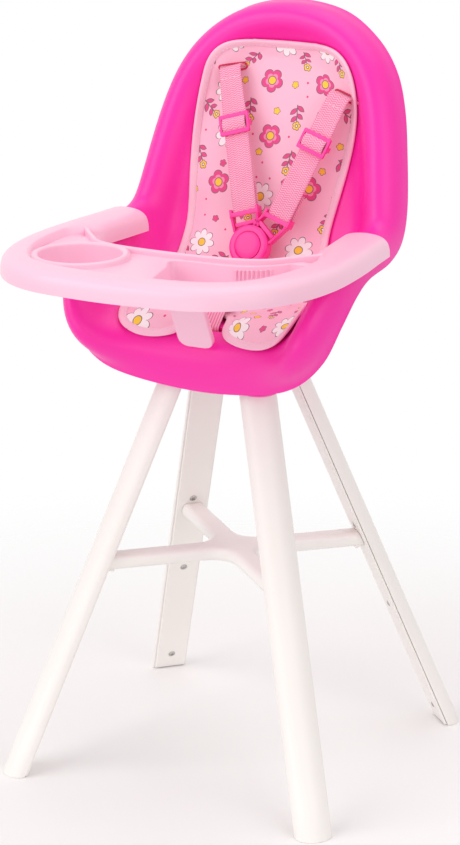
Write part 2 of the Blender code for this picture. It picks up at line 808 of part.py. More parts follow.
def leg_cover():
    inner = -LEG_DEPTH / 2
    half = COVER_WIDTH / 2
    outline = [
        (inner, half - COVER_EDGE),
        (inner + COVER_EDGE, half),
        (inner + COVER_THICKNESS, half),
        (inner + COVER_THICKNESS, -half),
        (inner + COVER_EDGE, -half),
        (inner, -half + COVER_EDGE),
    ]
    cover = loft("leg_cover", [leg_ring(outline, COVER_FOOT_Z), leg_ring(outline, LEG_TOP_Z)], WHITE)
    for index, z in enumerate(LEG_SCREW_Z):
        matrix = leg_bore_matrix(z)
        hole = SCREW_SHANK_RADIUS + GAP
        cut(cover, rod(f"cover_hole_{index}", hole, inner - OVERRUN, inner + OVERRUN, matrix=matrix, sides=8))
        pocket = SCREW_HEAD_RADIUS + GAP
        floor = inner + COVER_THICKNESS / 2
        cut(cover, rod(f"cover_pocket_{index}", pocket, inner - OVERRUN, floor, matrix=matrix, sides=12))
    half_width = BRACE_TONGUE_WIDTH / 2 + SOCKET_GAP
    half_height = BRACE_TONGUE_HEIGHT / 2 + SOCKET_GAP
    low = (-half_height, -half_width, inner - OVERRUN)
    high = (half_height, half_width, inner + OVERRUN)
    cut(cover, box("cover_slot", low, high, matrix=leg_bore_matrix(BRACE_Z)))
    return smooth(cover)


def leg_matrix(side_x, side_y):
    turn = math.atan2(side_y, side_x)
    return Matrix.Translation((side_x * FOOT_X, side_y * FOOT_Y, 0)) @ Matrix.Rotation(turn, 4, "Z")


LEG_SIDES = (("front_left", -1, -1), ("front_right", 1, -1), ("rear_left", -1, 1), ("rear_right", 1, 1))


def screw():
    """A small domed screw with its head's underside at zero, pointing down."""
    flat = SCREW_RECESS_RADIUS
    profile = [
        (0, SCREW_HEAD_HEIGHT - SCREW_RECESS_DEPTH),
        (flat, SCREW_HEAD_HEIGHT - SCREW_RECESS_DEPTH),
        (flat, SCREW_HEAD_HEIGHT),
        (SCREW_HEAD_RADIUS, SCREW_HEAD_HEIGHT * 0.4),
        (SCREW_HEAD_RADIUS, 0),
        (SCREW_SHANK_RADIUS, 0),
        (SCREW_SHANK_RADIUS, SCREW_SHANK_RADIUS - SCREW_LENGTH),
        (0, -SCREW_LENGTH),
    ]
    return turned("screw", profile, STEEL, steps=8)


def legs(screw_mesh):
    channel = leg_channel()
    cover = leg_cover()
    seat = -LEG_DEPTH / 2 + COVER_THICKNESS / 2 - GAP
    for name, side_x, side_y in LEG_SIDES:
        matrix = leg_matrix(side_x, side_y)
        copy_of(channel, f"leg_{name}", matrix)
        copy_of(cover, f"leg_cover_{name}", matrix)
        for index, z in enumerate(LEG_SCREW_Z):
            place = leg_bore_matrix(z) @ Matrix.Translation((0, 0, seat)) @ Matrix.Rotation(math.pi, 4, "X")
            copy_of(screw_mesh, f"leg_screw_{name}_{index + 1}", matrix @ place)
    bpy.data.objects.remove(channel, do_unlink=True)
    bpy.data.objects.remove(cover, do_unlink=True)


def leg_hub():
    top_y = HUB_TOP_HALF_Y + HUB_SHOULDER
    shoulder_z = HUB_TOP_Z - HUB_SHOULDER
    rings = [
        at_height(rounded_rectangle(HUB_HALF_X - HUB_EDGE, HUB_HALF_Y - HUB_EDGE, HUB_CORNER), HUB_Z),
        at_height(rounded_rectangle(HUB_HALF_X, HUB_HALF_Y, HUB_CORNER), HUB_Z + HUB_EDGE),
        at_height(rounded_rectangle(HUB_TOP_HALF_X + HUB_SHOULDER, top_y, HUB_CORNER), shoulder_z),
        at_height(rounded_rectangle(HUB_TOP_HALF_X, HUB_TOP_HALF_Y, HUB_CORNER), HUB_TOP_Z),
    ]
    hub = loft("leg_hub", rings, MAGENTA)
    cut(hub, rod("hub_well", HUB_WELL_RADIUS, HUB_Z - OVERRUN, HUB_TOP_Z - HUB_DECK, sides=32))
    socket = leg_outline(SOCKET_GAP, closed=True)
    for name, side_x, side_y in LEG_SIDES:
        rings = [leg_ring(socket, HUB_Z - OVERRUN), leg_ring(socket, LEG_TOP_Z + SOCKET_GAP)]
        cut(hub, loft(f"hub_socket_{name}", rings, matrix=leg_matrix(side_x, side_y)))
    for index, (x, y) in enumerate(boss_places()):
        place = Matrix.Translation((x, y, 0))
        low = PAN_UNDERSIDE - HUB_BOSS_HEIGHT - GAP
        cut(hub, rod(f"hub_pocket_{index}", HUB_BOSS_RADIUS + GAP, low, HUB_TOP_Z + OVERRUN, matrix=place))
        bore = SCREW_SHANK_RADIUS + GAP
        cut(hub, rod(f"hub_bore_{index}", bore, HUB_TOP_Z - HUB_DECK - OVERRUN, HUB_TOP_Z, matrix=place, sides=8))
    half = HUB_NOTCH_HALF_WIDTH
    reach = HUB_HALF_Y + OVERRUN
    cut(hub, box("hub_notch", (-half, -reach, HUB_NOTCH_Z), (half, -HUB_NOTCH_Y, HUB_TOP_Z + OVERRUN)))
    return smooth(hub)


def hub_screws(screw_mesh):
    seat = HUB_TOP_Z - HUB_DECK - GAP
    for index, (x, y) in enumerate(boss_places()):
        place = Matrix.Translation((x, y, seat)) @ Matrix.Rotation(math.pi, 4, "X")
        copy_of(screw_mesh, f"hub_screw_{index + 1}", place)


# Leg brace


def brace_outline(reach):
    """The cross seen from above, with a fillet in each of its four inner corners."""
    drop = math.tan(LEG_LEAN) * BRACE_Z * math.sqrt(0.5)
    base = math.atan2(FOOT_Y - drop, FOOT_X - drop)
    arms = [base, math.pi - base, math.pi + base, 2 * math.pi - base]
    half = BRACE_WIDTH / 2
    outline = []
    for index, arm in enumerate(arms):
        along = Vector((math.cos(arm), math.sin(arm)))
        aside = Vector((-along.y, along.x)) * half
        outline.append(along * reach - aside)
        outline.append(along * reach + aside)
        following = arms[(index + 1) % 4] + (2 * math.pi if index == 3 else 0)
        gamma = (following - arm) / 2
        middle = (following + arm) / 2
        far = (half + BRACE_FILLET) / math.sin(gamma)
        centre = Vector((math.cos(middle), math.sin(middle))) * far
        for step in range(9):
            angle = arm - math.pi / 2 - (math.pi - 2 * gamma) * step / 8
            outline.append(centre + Vector((math.cos(angle), math.sin(angle))) * BRACE_FILLET)
    return [tuple(point) for point in outline]


def leg_brace():
    reach = math.hypot(FOOT_X, FOOT_Y)
    outline = brace_outline(reach)
    rings = []
    for turn in (0, 45, 90):
        angle = math.radians(turn)
        shrink = BRACE_ROUND * (1 - math.sin(angle))
        rings.append((shrink, BRACE_HEIGHT / 2 - BRACE_ROUND * (1 - math.cos(angle))))
    levels = [(shrink, -rise) for shrink, rise in rings] + [(shrink, rise) for shrink, rise in reversed(rings)]
    brace = loft("leg_brace", [at_height(inset(outline, shrink), BRACE_Z + rise) for shrink, rise in levels], WHITE)
    face = -LEG_DEPTH / 2 - GAP
    for name, side_x, side_y in LEG_SIDES:
        matrix = leg_matrix(side_x, side_y) @ leg_bore_matrix(BRACE_Z)
        wide = LEG_WIDTH * 2
        cut(brace, box(f"brace_end_{name}", (-wide, -wide, face), (wide, wide, face + reach), matrix=matrix))
        half_width = BRACE_TONGUE_WIDTH / 2
        half_height = BRACE_TONGUE_HEIGHT / 2
        inner = (-half_height, -half_width, face - BRACE_TONGUE_LENGTH)
        outer = (half_height, half_width, face + BRACE_TONGUE_LENGTH)
        join(brace, box(f"brace_tongue_{name}", inner, outer, matrix=matrix))
    return smooth(brace)


# Tray


def rail_path():
    return [(x * RAIL_HALF_X, RAIL_FRONT_Y + y * RAIL_LENGTH) for x, y in RAIL_PATH_SHARES]


def rail_frames(steps):
    """Points on the crest with the outward direction at each, front centre to rear end."""
    path = np.array(rail_path())
    flip = np.array((-1, 1))
    fine = refine(path, steps, path[1] * flip, 2 * path[-1] - path[-2])
    along = np.gradient(fine, axis=0)
    along[0] = (1, 0)
    along /= np.linalg.norm(along, axis=1)[:, None]
    return fine, along, np.stack([along[:, 1], -along[:, 0]], axis=1)


def finer_shares(shares, steps):
    rows = np.array(shares, float)
    places = np.linspace(0, len(rows) - 1, (len(rows) - 1) * steps + 1)
    return np.interp(places, np.arange(len(rows)), rows)


def rail_surface(steps):
    points, along, outward = rail_frames(steps)
    widths = finer_shares(RAIL_WIDTH_SHARES, steps)
    blends = finer_shares(RAIL_BLEND_SHARES, steps)
    rows = []
    for index, point in enumerate(points):
        inner = mix(RAIL_DECK_SHARES, RAIL_ARM_SHARES, blends[index])
        outer = [(across * widths[index], up) for across, up in RAIL_OUTER_SHARES]
        row = [rail_point(point, outward[index], across, up) for across, up in outer + inner]
        if blends[index] < 1:
            shelf, skirt = np.array(deck_point(index / steps)), np.array(row[-1])
            row[-1] = shelf + (skirt - shelf) * blends[index]
        rows.append(row)
    return np.array(rows)


def rail_point(point, outward, across, up):
    spot = point + outward * across * RAIL_HALF_WIDTH
    return (spot[0], spot[1], TRAY_CREST_Z + up * RAIL_HEIGHT)


def deck_point(station):
    """Where the shelf ends inside the rear lip, opposite a station of the rail."""
    path = smooth_path([(x * LIP_HALF_X, LIP_Y + y * LIP_REACH) for x, y in LIP_PATH_SHARES], 4)
    reach = np.interp(station, range(len(DECK_REACH_SHARES)), DECK_REACH_SHARES) * (len(path) - 1)
    x, y = (float(np.interp(reach, range(len(path)), path[:, axis])) for axis in (0, 1))
    return (x, y + DECK_TUCK_SHARE * LIP_THICKNESS, SHELF_Z)


def lip_path(steps):
    points = [(x * LIP_HALF_X, LIP_Y + y * LIP_REACH) for x, y in LIP_PATH_SHARES]
    path = np.array(points)
    flip = np.array((-1, 1))
    fine = refine(path, steps, path[1] * flip, 2 * path[-1] - path[-2])
    return np.concatenate([fine[:0:-1] * flip, fine[1:]])


def ribbon_outline(path, width):
    """Outline of a strip that lies on the path's rear side."""
    along = np.gradient(path, axis=0)
    along /= np.linalg.norm(along, axis=1)[:, None]
    side = np.stack([-along[:, 1], along[:, 0]], axis=1)
    return np.concatenate([path, (path + side * width)[::-1]])


def basin_outline():
    points = [(x * RAIL_HALF_X, RAIL_FRONT_Y + y * RAIL_LENGTH) for x, y in BASIN_SHARES]
    return smooth_outline(points, 2)


def basin_solids():
    outline = basin_outline()
    floor = SHELF_Z - BASIN_DEPTH
    bend = BASIN_FLOOR_RADIUS
    outer = [
        at_height(inset(outline, -WALL), SHELF_Z - WALL / 2),
        at_height(inset(outline, BASIN_DRAFT - WALL), floor + bend),
        at_height(inset(outline, BASIN_DRAFT + bend / 3 - WALL), floor + bend / 3 - WALL / 2),
        at_height(inset(outline, BASIN_DRAFT + bend - WALL), floor - WALL),
    ]
    hollow = [
        at_height(inset(outline, -BASIN_DRAFT * OVERRUN / BASIN_DEPTH), SHELF_Z + OVERRUN),
        at_height(inset(outline, BASIN_DRAFT), floor + bend),
        at_height(inset(outline, BASIN_DRAFT + bend / 3), floor + bend / 3),
        at_height(inset(outline, BASIN_DRAFT + bend), floor),
    ]
    return loft("basin_outer", outer[::-1]), loft("basin_hollow", hollow[::-1])


def cup_solids():
    """The raised ring, the bowl under it and the hollow that both share."""
    inner = CUP_RADIUS - CUP_RING_WIDTH
    floor = SHELF_Z - CUP_DEPTH
    top = SHELF_Z + CUP_RING_HEIGHT
    bend = CUP_FLOOR_RADIUS
    foot = inner - CUP_DRAFT
    crown = CUP_RING_WIDTH * 0.28
    outer = [
        (0, top - crown / 3),
        (inner, top - crown / 3),
        (inner + crown, top),
        (CUP_RADIUS - crown, top),
        (CUP_RADIUS, top - crown),
        (CUP_RADIUS, SHELF_Z - WALL / 2),
        (inner + WALL, SHELF_Z - WALL / 2),
        (foot + WALL, floor + bend),
        (foot + WALL - bend / 3, floor - WALL / 2),
        (foot - bend, floor - WALL),
        (0, floor - WALL),
    ]
    hollow = [
        (0, top + OVERRUN),
        (inner, top + OVERRUN),
        (inner, SHELF_Z),
        (foot, floor + bend),
        (foot - bend / 3, floor + bend / 3),
        (foot - bend, floor),
        (0, floor),
    ]
    place = Matrix.Translation((CUP_X, CUP_Y, 0))
    outer_solid = turned("cup_outer", outer, matrix=place, steps=24)
    return outer_solid, turned("cup_hollow", hollow, matrix=place, steps=24)


def basin_ribs():
    """Upright ribs on the basin's rear wall, made as one set of bars that reach into the wall."""
    outline = basin_outline()
    rear = outline[outline[:, 1] > CUP_Y]
    rear = rear[np.argsort(rear[:, 0])]
    bm = bmesh.new()
    low = SHELF_Z - BASIN_DEPTH + BASIN_FLOOR_RADIUS * 1.4
    high = SHELF_Z - RIB_MARGIN
    for index in range(RIB_COUNT):
        x = RIB_START_X + index * RIB_PITCH
        wall = float(np.interp(x, rear[:, 0], rear[:, 1]))
        front = wall - BASIN_DRAFT - RIB_STAND
        size = (RIB_WIDTH, WALL + BASIN_DRAFT + RIB_STAND, high - low)
        middle = (x, front + size[1] / 2, (low + high) / 2)
        bmesh.ops.create_cube(bm, size=1, matrix=Matrix.Translation(middle) @ Matrix.Diagonal((*size, 1)))
    return mesh_object("basin_ribs", bm)


def tray():
    rail = face_toward(sheet_from(rail_surface(2), "tray", PALE_PINK), (0, 0, 1))
    thickened(mirrored(rail), WALL, -1)
    settle(rail)
    lip = plate("tray_lip", ribbon_outline(lip_path(1), LIP_THICKNESS), SKIRT_Z + GAP, SHELF_Z + LIP_HEIGHT)
    settle(soften(lip, LIP_ROUND, segments=1))
    basin, basin_hollow = basin_solids()
    cup, cup_hollow = cup_solids()
    join(rail, lip, basin, cup)
    cut(rail, basin_hollow, cup_hollow)
    join(rail, basin_ribs())
    return smooth(rail, 40)


def post_ring(point, half, thickness, lean):
    """A slim eight-sided ring across the post, square to its own direction."""
    ahead = Vector((0, -math.cos(lean), -math.sin(lean)))
    edge = min(POST_EDGE, thickness / 3)
    ring = []
    for across, depth in (
        (-half + edge, 1), (half - edge, 1), (half, 1 - 2 * edge / thickness), (half, 2 * edge / thickness - 1),
        (half - edge, -1), (-half + edge, -1), (-half, 2 * edge / thickness - 1), (-half, 1 - 2 * edge / thickness),
    ):
        ring.append(Vector(point) + Vector((across, 0, 0)) + ahead * depth * thickness / 2)
    return ring


def crotch_post():
    """Plate that stands behind the tray's lip and leans back to the seat's front edge."""
    lip = lip_path(1)
    lip_rear = float(np.interp(0, lip[:, 0], lip[:, 1])) + LIP_THICKNESS
    head_y = lip_rear + GAP + POST_THICKNESS / 2
    slope = Vector((0, POST_FOOT_Y - head_y, POST_FOOT_Z - POST_BEND_Z))
    lean = math.atan2(slope.y, -slope.z)
    down = slope.normalized()
    bend = Vector((0, head_y, POST_BEND_Z))
    foot = Vector((0, POST_FOOT_Y, POST_FOOT_Z))
    half = POST_WIDTH / 2
    stations = [(Vector((0, head_y, POST_HEAD_Z)), half, 0), (bend - down * 0, half, lean / 2)]
    for share in (1, 0.62, 0.3, 0.1, 0):
        drop = POST_CORNER * share
        narrow = POST_CORNER - math.sqrt(max(POST_CORNER**2 - (POST_CORNER - drop) ** 2, 0))
        stations.append((foot - down * drop, half - narrow, lean))
    rings = [post_ring(point, wide, POST_THICKNESS, turn) for point, wide, turn in stations]
    post = loft("crotch_post", rings, PALE_PINK)
    behind = Vector((0, math.cos(lean), math.sin(lean))) * POST_WALL
    rings = []
    for point, wide, turn in stations[:3] + stations[3:5]:
        rings.append(post_ring(point + behind, wide - POST_WALL, POST_THICKNESS, turn))
    rings[0] = [point - Vector((0, 0, POST_WALL)) for point in rings[0]]
    cut(post, loft("post_hollow", rings))
    return smooth(post)


# Seat pad


def shell_tree():
    """The shell's whole inner surface, for laying the pad on it."""
    half = shell_surface(3)
    other = half * np.array((-1, 1, 1))
    rows, columns = half.shape[:2]
    points = np.concatenate([half.reshape(-1, 3), other.reshape(-1, 3)])
    faces = []
    for shift in (0, rows * columns):
        for i in range(rows - 1):
            for j in range(columns - 1):
                corner = shift + i * columns + j
                faces.append((corner, corner + columns, corner + columns + 1, corner + 1))
    return BVHTree.FromPolygons([Vector(point) for point in points], faces)


def pad_rows():
    """Base point, lean, outer edge and notch edge of each row, from the top down to the lobes."""
    lean = math.degrees(math.atan(BACK_SLOPE))
    rows = []
    for up, wide in PAD_BACK_SHARES:
        z = SEAT_Z + up * (PAD_TOP_Z - SEAT_Z)
        rows.append((Vector((0, lean_y(z), z)), lean, wide * PAD_HALF_WIDTH, 0))
    for forward, up, degrees, wide in PAD_SEAT_SHARES:
        base = Vector((0, BACK_Y + forward * (FRONT_Y - BACK_Y), SEAT_Z + up * FLANGE_RISE))
        rows.append((base, degrees, wide * PAD_HALF_WIDTH, 0))
    for forward, up, degrees, wide, notch in PAD_LOBE_SHARES:
        base = Vector((0, BACK_Y + forward * (FRONT_Y - BACK_Y), SEAT_Z + up * FLANGE_RISE))
        rows.append((base, degrees, wide * PAD_HALF_WIDTH, notch * PAD_NOTCH_HALF_WIDTH))
    return rows


def pad_sheet():
    """The pad's underside, laid on the shell row by row."""
    tree = shell_tree()
    reach = FLANGE_RISE * 3
    grid = []
    for index, (base, degrees, wide, notch) in enumerate(pad_rows()):
        out = Vector(tilted(degrees))
        front = min(max((index - len(PAD_BACK_SHARES)) / 3, 0), 1)
        row = []
        for share in PAD_ACROSS_SHARES:
            x = notch + share * (wide - notch)
            start = base + Vector((x, 0, 0)) + out * reach
            spot, normal, _, _ = tree.ray_cast(start, -out)
            if normal.dot(out) < 0:
                normal = -normal
            spot += normal * (PAD_LIFT + front * PAD_FRONT_LIFT)
            row.append(np.array(spot if x else (0, spot.y, spot.z)))
        grid.append(row)
    return np.array(grid)


def seat_pad(strap_slots):
    grid = pad_sheet()
    pad = face_toward(sheet_from(grid, "seat_pad", PAD_FABRIC), (0, -1, 1))
    weights = pad.vertex_groups.new(name="loft")
    rows, columns = grid.shape[:2]
    inner_rows = len(PAD_BACK_SHARES) + len(PAD_SEAT_SHARES)
    for index, vertex in enumerate(pad.data.vertices):
        i, j = divmod(index, columns)
        ends = [i, rows - 1 - i, columns - 1 - j]
        if i >= inner_rows:
            ends.append(j)
        near = min(ends)
        share = (PAD_EDGE_SHARE, 0.8, 1)[min(near, 2)]
        weights.add([index], share, "REPLACE")
    mirrored(pad)
    thickened(pad, PAD_THICKNESS + PAD_CROWN, 1)
    pad.modifiers["wall"].vertex_group = "loft"
    pad.modifiers["wall"].use_even_offset = False
    settle(pad)
    cut(pad, *strap_slots)
    return smooth(pad, 60)


# Harness


def ribbon(name, path, matrix, thicknesses=None):
    """Webbing along a path of run and stand-off, across the matrix's own X axis."""
    rows = np.array(path, float)
    along = np.gradient(rows, axis=0)
    along /= np.linalg.norm(along, axis=1)[:, None]
    normal = np.stack([-along[:, 1], along[:, 0]], axis=1)
    half = WEB_WIDTH / 2
    rings = []
    for index, (row, side) in enumerate(zip(rows, normal)):
        thick = (thicknesses[index] if thicknesses else WEB_THICKNESS) / 2
        up, down = row + side * thick, row - side * thick
        rings.append([(-half, *up), (half, *up), (half, *down), (-half, *down)])
    return smooth(loft(name, rings, WEBBING, matrix))


def arc(centre, radius, start, end, steps):
    turns = [math.radians(start + (end - start) * step / steps) for step in range(steps + 1)]
    return [(centre[0] + radius * math.cos(turn), centre[1] + radius * math.sin(turn)) for turn in turns]


def ply_radius():
    """Half the distance between the middles of two plies that hold a bar."""
    return TONGUE_BAR * math.sqrt(0.5) + GAP + WEB_THICKNESS / 2


def hem(path, length):
    """Thickness at each point of the path, thicker over the folded end."""
    rows = np.array(path)
    steps = np.linalg.norm(np.diff(rows, axis=0), axis=1)
    left = np.concatenate([np.cumsum(steps[::-1])[::-1], [0]])
    return [HEM_THICKNESS if rest < length else WEB_THICKNESS for rest in left]


def shoulder_strap(name, matrix, length):
    """Flat strap from a loop at its foot to the slot, then through it to a thick sewn hem."""
    offset = ply_radius()
    turn = offset * 2
    back = [(STRAP_RETURN, -offset), (STRAP_RETURN / 2, -offset)]
    loop = arc((offset, 0), offset, 270, 90, 8)
    bend = arc((length - turn, offset - turn), turn, 90, 0, 4)
    depth = offset - turn - STRAP_TAIL
    tail = [(length, offset - turn - OVERRUN), (length, depth + HEM_LENGTH)]
    tail += [(length, depth + HEM_LENGTH - GAP), (length, depth)]
    path = back + loop + [(length / 3, offset), (length * 2 / 3, offset)] + bend + tail
    return ribbon(name, path, matrix, hem(path, HEM_LENGTH)), depth


def ring_plate(name, outer_x, outer_y, hole_x, hole_y, low, high, matrix, round_share=0.3):
    """A rounded frame with a window."""
    corner = outer_y * round_share
    ring = plate(name, rounded_rectangle(outer_x / 2, outer_y / 2, corner, 3), low, high, HARDWARE, matrix)
    soften(ring, (high - low) * 0.2, segments=1)
    half_x, half_y = hole_x / 2, hole_y / 2
    cut(ring, box(f"{name}_window", (-half_x, -half_y, low - OVERRUN), (half_x, half_y, high + OVERRUN), matrix=matrix))
    return ring


def adjuster(name, matrix, length):
    """Sliding bar buckle: two bars before the strap and one behind it, between side rims."""
    ply = ply_radius() + WEB_THICKNESS / 2
    place = matrix @ Matrix.Translation((0, length * (1 - ADJUSTER_SHARE), 0))
    low = ply + GAP
    high = low + ADJUSTER_RIM * 0.8
    hole_x = WEB_WIDTH + 2 * PRONG_GAP
    outer_x = hole_x + 2 * ADJUSTER_RIM
    hole_y = ADJUSTER_LENGTH - 2 * ADJUSTER_BAR
    frame = ring_plate(name, outer_x, ADJUSTER_LENGTH, hole_x, hole_y, low, high, place, 0.18)
    back = ply - WEB_THICKNESS - GAP
    half = ADJUSTER_BAR / 2
    for side in (-1, 1):
        near, far = side * hole_x / 2, side * outer_x / 2
        left, right = min(near, far), max(near, far)
        rim_low = (left, -half * 1.6, back - ADJUSTER_RIM * 0.6)
        join(frame, box(f"{name}_rim_{side}", rim_low, (right, half * 1.6, high - GAP), matrix=place))
    bar_low = (-hole_x / 2 - GAP, -half, back - ADJUSTER_RIM * 0.6)
    join(frame, box(f"{name}_bar", bar_low, (hole_x / 2 + GAP, half, back), matrix=place))
    return smooth(frame)


def buckle_rim_distance(matrix, harness, half_width=0.0):
    """Along a strap's own line: where the buckle's rim is reached, by a piece of this half width."""
    local = matrix.inverted() @ harness.translation
    aside = max(abs(local.x) - half_width, 0)
    return local.y + math.sqrt(BUCKLE_RADIUS**2 - aside**2)


def tongue(name, matrix, harness):
    """Loop bar inside the strap's hairpin, a guard bar over it, and a prong into the buckle."""
    ply = ply_radius() + WEB_THICKNESS / 2
    low, high = -TONGUE_BAR / 2, TONGUE_BAR / 2
    top = ply + GAP + TONGUE_BAR / 2
    half_hole = WEB_WIDTH / 2 + PRONG_GAP
    half = half_hole + TONGUE_RIM
    bar_y = ply_radius()
    rim = buckle_rim_distance(matrix, harness)
    shoulder = -ply_radius() * 2
    wide = PRONG_WIDTH * 0.8
    neck = buckle_rim_distance(matrix, harness, wide) + 2 * PRONG_GAP
    outline = [
        (-half, TONGUE_HEAD), (-half, shoulder), (-half * 0.8, shoulder + (neck - shoulder) * 0.35),
        (-wide, neck + (shoulder - neck) * 0.3), (-wide, neck), (wide, neck),
        (wide, neck + (shoulder - neck) * 0.3), (half * 0.8, shoulder + (neck - shoulder) * 0.35),
        (half, shoulder), (half, TONGUE_HEAD),
    ]
    body = plate(name, outline, low, high, HARDWARE, matrix)
    window = (-half_hole, shoulder + TONGUE_BAR, low - OVERRUN)
    cut(body, box(f"{name}_window", window, (half_hole, TONGUE_HEAD + OVERRUN, high + OVERRUN), matrix=matrix))
    bar = (-half_hole - GAP, bar_y - TONGUE_BAR / 2, low)
    join(body, box(f"{name}_bar", bar, (half_hole + GAP, bar_y + TONGUE_BAR / 2, high), matrix=matrix))
    guard_low = bar_y + TONGUE_BAR
    step = GAP / 2
    guard = (step - half, guard_low, ply + GAP)
    guard_high = (half - step, TONGUE_HEAD - step, top + TONGUE_BAR / 2)
    join(body, box(f"{name}_guard", guard, guard_high, matrix=matrix))
    for side in (-1, 1):
        left, right = sorted((side * (half_hole + step), side * (half - 2 * step)))
        rail_low = (left, guard_low + step, low + step)
        rail_high = (right, TONGUE_HEAD - 2 * step, top)
        join(body, box(f"{name}_rail_{side}", rail_low, rail_high, matrix=matrix))
    prong_half = PRONG_WIDTH / 2
    prong_low = (-prong_half, rim - PRONG_LENGTH, -PRONG_THICKNESS / 2)
    join(body, box(f"{name}_prong", prong_low, (prong_half, shoulder, PRONG_THICKNESS / 2), matrix=matrix))
    return smooth(body)


def buckle_well_floor():
    return PRONG_THICKNESS / 2 + PRONG_GAP + BUCKLE_WEB


def buckle_body(harness, frames):
    """Round housing with a well for the button, pockets for the prongs and a slotted tab."""
    back, front = -BUCKLE_BACK, BUCKLE_THICKNESS - BUCKLE_BACK
    r, edge = BUCKLE_RADIUS, BUCKLE_ROUND
    profile = [
        (0, front), (r - edge * 1.6, front), (r - edge * 0.5, front - edge * 0.4), (r, front - edge * 1.4),
        (r, back + edge), (r - edge, back), (0, back),
    ]
    body = turned("buckle_body", profile, HARDWARE, harness, 32)
    slot_top = -BUCKLE_RADIUS - GAP
    tab_low = slot_top - TAB_SLOT - LOOP_BAR
    half = TAB_WIDTH / 2
    tab_half = LOOP_BAR / 2
    outline = [
        (-half, slot_top + TAB_DEPTH * 0.45), (-half, tab_low + LOOP_BAR / 2), (-half + LOOP_BAR / 2, tab_low),
        (half - LOOP_BAR / 2, tab_low), (half, tab_low + LOOP_BAR / 2), (half, slot_top + TAB_DEPTH * 0.45),
        (half * 0.6, slot_top + TAB_DEPTH), (-half * 0.6, slot_top + TAB_DEPTH),
    ]
    tab = plate("buckle_tab", outline, -tab_half, tab_half, None, harness)
    join(body, tab)
    half_slot = WEB_WIDTH / 2 + PRONG_GAP
    slot = (-half_slot, slot_top - TAB_SLOT, -BUCKLE_THICKNESS)
    cut(body, box("buckle_slot", slot, (half_slot, slot_top, BUCKLE_THICKNESS), matrix=harness))
    floor = buckle_well_floor()
    lip = front - BUTTON_LIP
    cut(body, rod("buckle_well", BUTTON_RADIUS + GAP, floor + GAP, front + OVERRUN, matrix=harness, sides=32))
    cut(body, rod("buckle_chamber", BUTTON_RADIUS + BUTTON_FLANGE + GAP, floor, lip, matrix=harness, sides=32))
    for name, matrix in frames.items():
        rim = buckle_rim_distance(matrix, harness)
        half_x = PRONG_WIDTH / 2 + PRONG_GAP
        half_z = PRONG_THICKNESS / 2 + PRONG_GAP
        low = (-half_x, rim - PRONG_LENGTH - PRONG_GAP, -half_z)
        cut(body, box(f"buckle_pocket_{name}", low, (half_x, rim + OVERRUN, half_z), matrix=matrix))
    return smooth(body)


def buckle_button(harness):
    front = BUCKLE_THICKNESS - BUCKLE_BACK
    top = front + BUTTON_STAND
    under = buckle_well_floor() + BUTTON_TRAVEL + 2 * GAP
    shoulder = front - BUTTON_LIP - GAP
    r = BUTTON_RADIUS
    profile = [
        (0, top), (r * 0.6, top - BUTTON_STAND * 0.1), (r * 0.88, top - BUTTON_STAND * 0.35),
        (r, top - BUTTON_STAND * 0.8), (r, shoulder), (r + BUTTON_FLANGE, shoulder),
        (r + BUTTON_FLANGE, under), (BUTTON_CORE_RADIUS, under), (BUTTON_CORE_RADIUS, top - BUTTON_CAP),
        (0, top - BUTTON_CAP),
    ]
    return smooth(turned("buckle_button", profile, HARDWARE, harness)), top - BUTTON_CAP


def buckle_spring(harness, top):
    """Coil between the well's floor and the hollow under the button's cap."""
    low = buckle_well_floor() + GAP + SPRING_WIRE
    high = top - GAP - SPRING_WIRE
    count = SPRING_TURNS * SPRING_STEPS
    curve = bpy.data.curves.new("buckle_spring", "CURVE")
    curve.dimensions = "3D"
    curve.bevel_depth = SPRING_WIRE
    curve.bevel_resolution = 1
    curve.use_fill_caps = True
    spline = curve.splines.new("POLY")
    spline.points.add(count)
    for index, point in enumerate(spline.points):
        turn = 2 * math.pi * index / SPRING_STEPS
        height = low + (high - low) * index / count
        point.co = (SPRING_RADIUS * math.cos(turn), SPRING_RADIUS * math.sin(turn), height, 1)
    spring = bpy.data.objects.new("buckle_spring", curve)
    curve.materials.append(STEEL)
    PARTS.objects.link(spring)
    spring.matrix_world = harness
    return spring


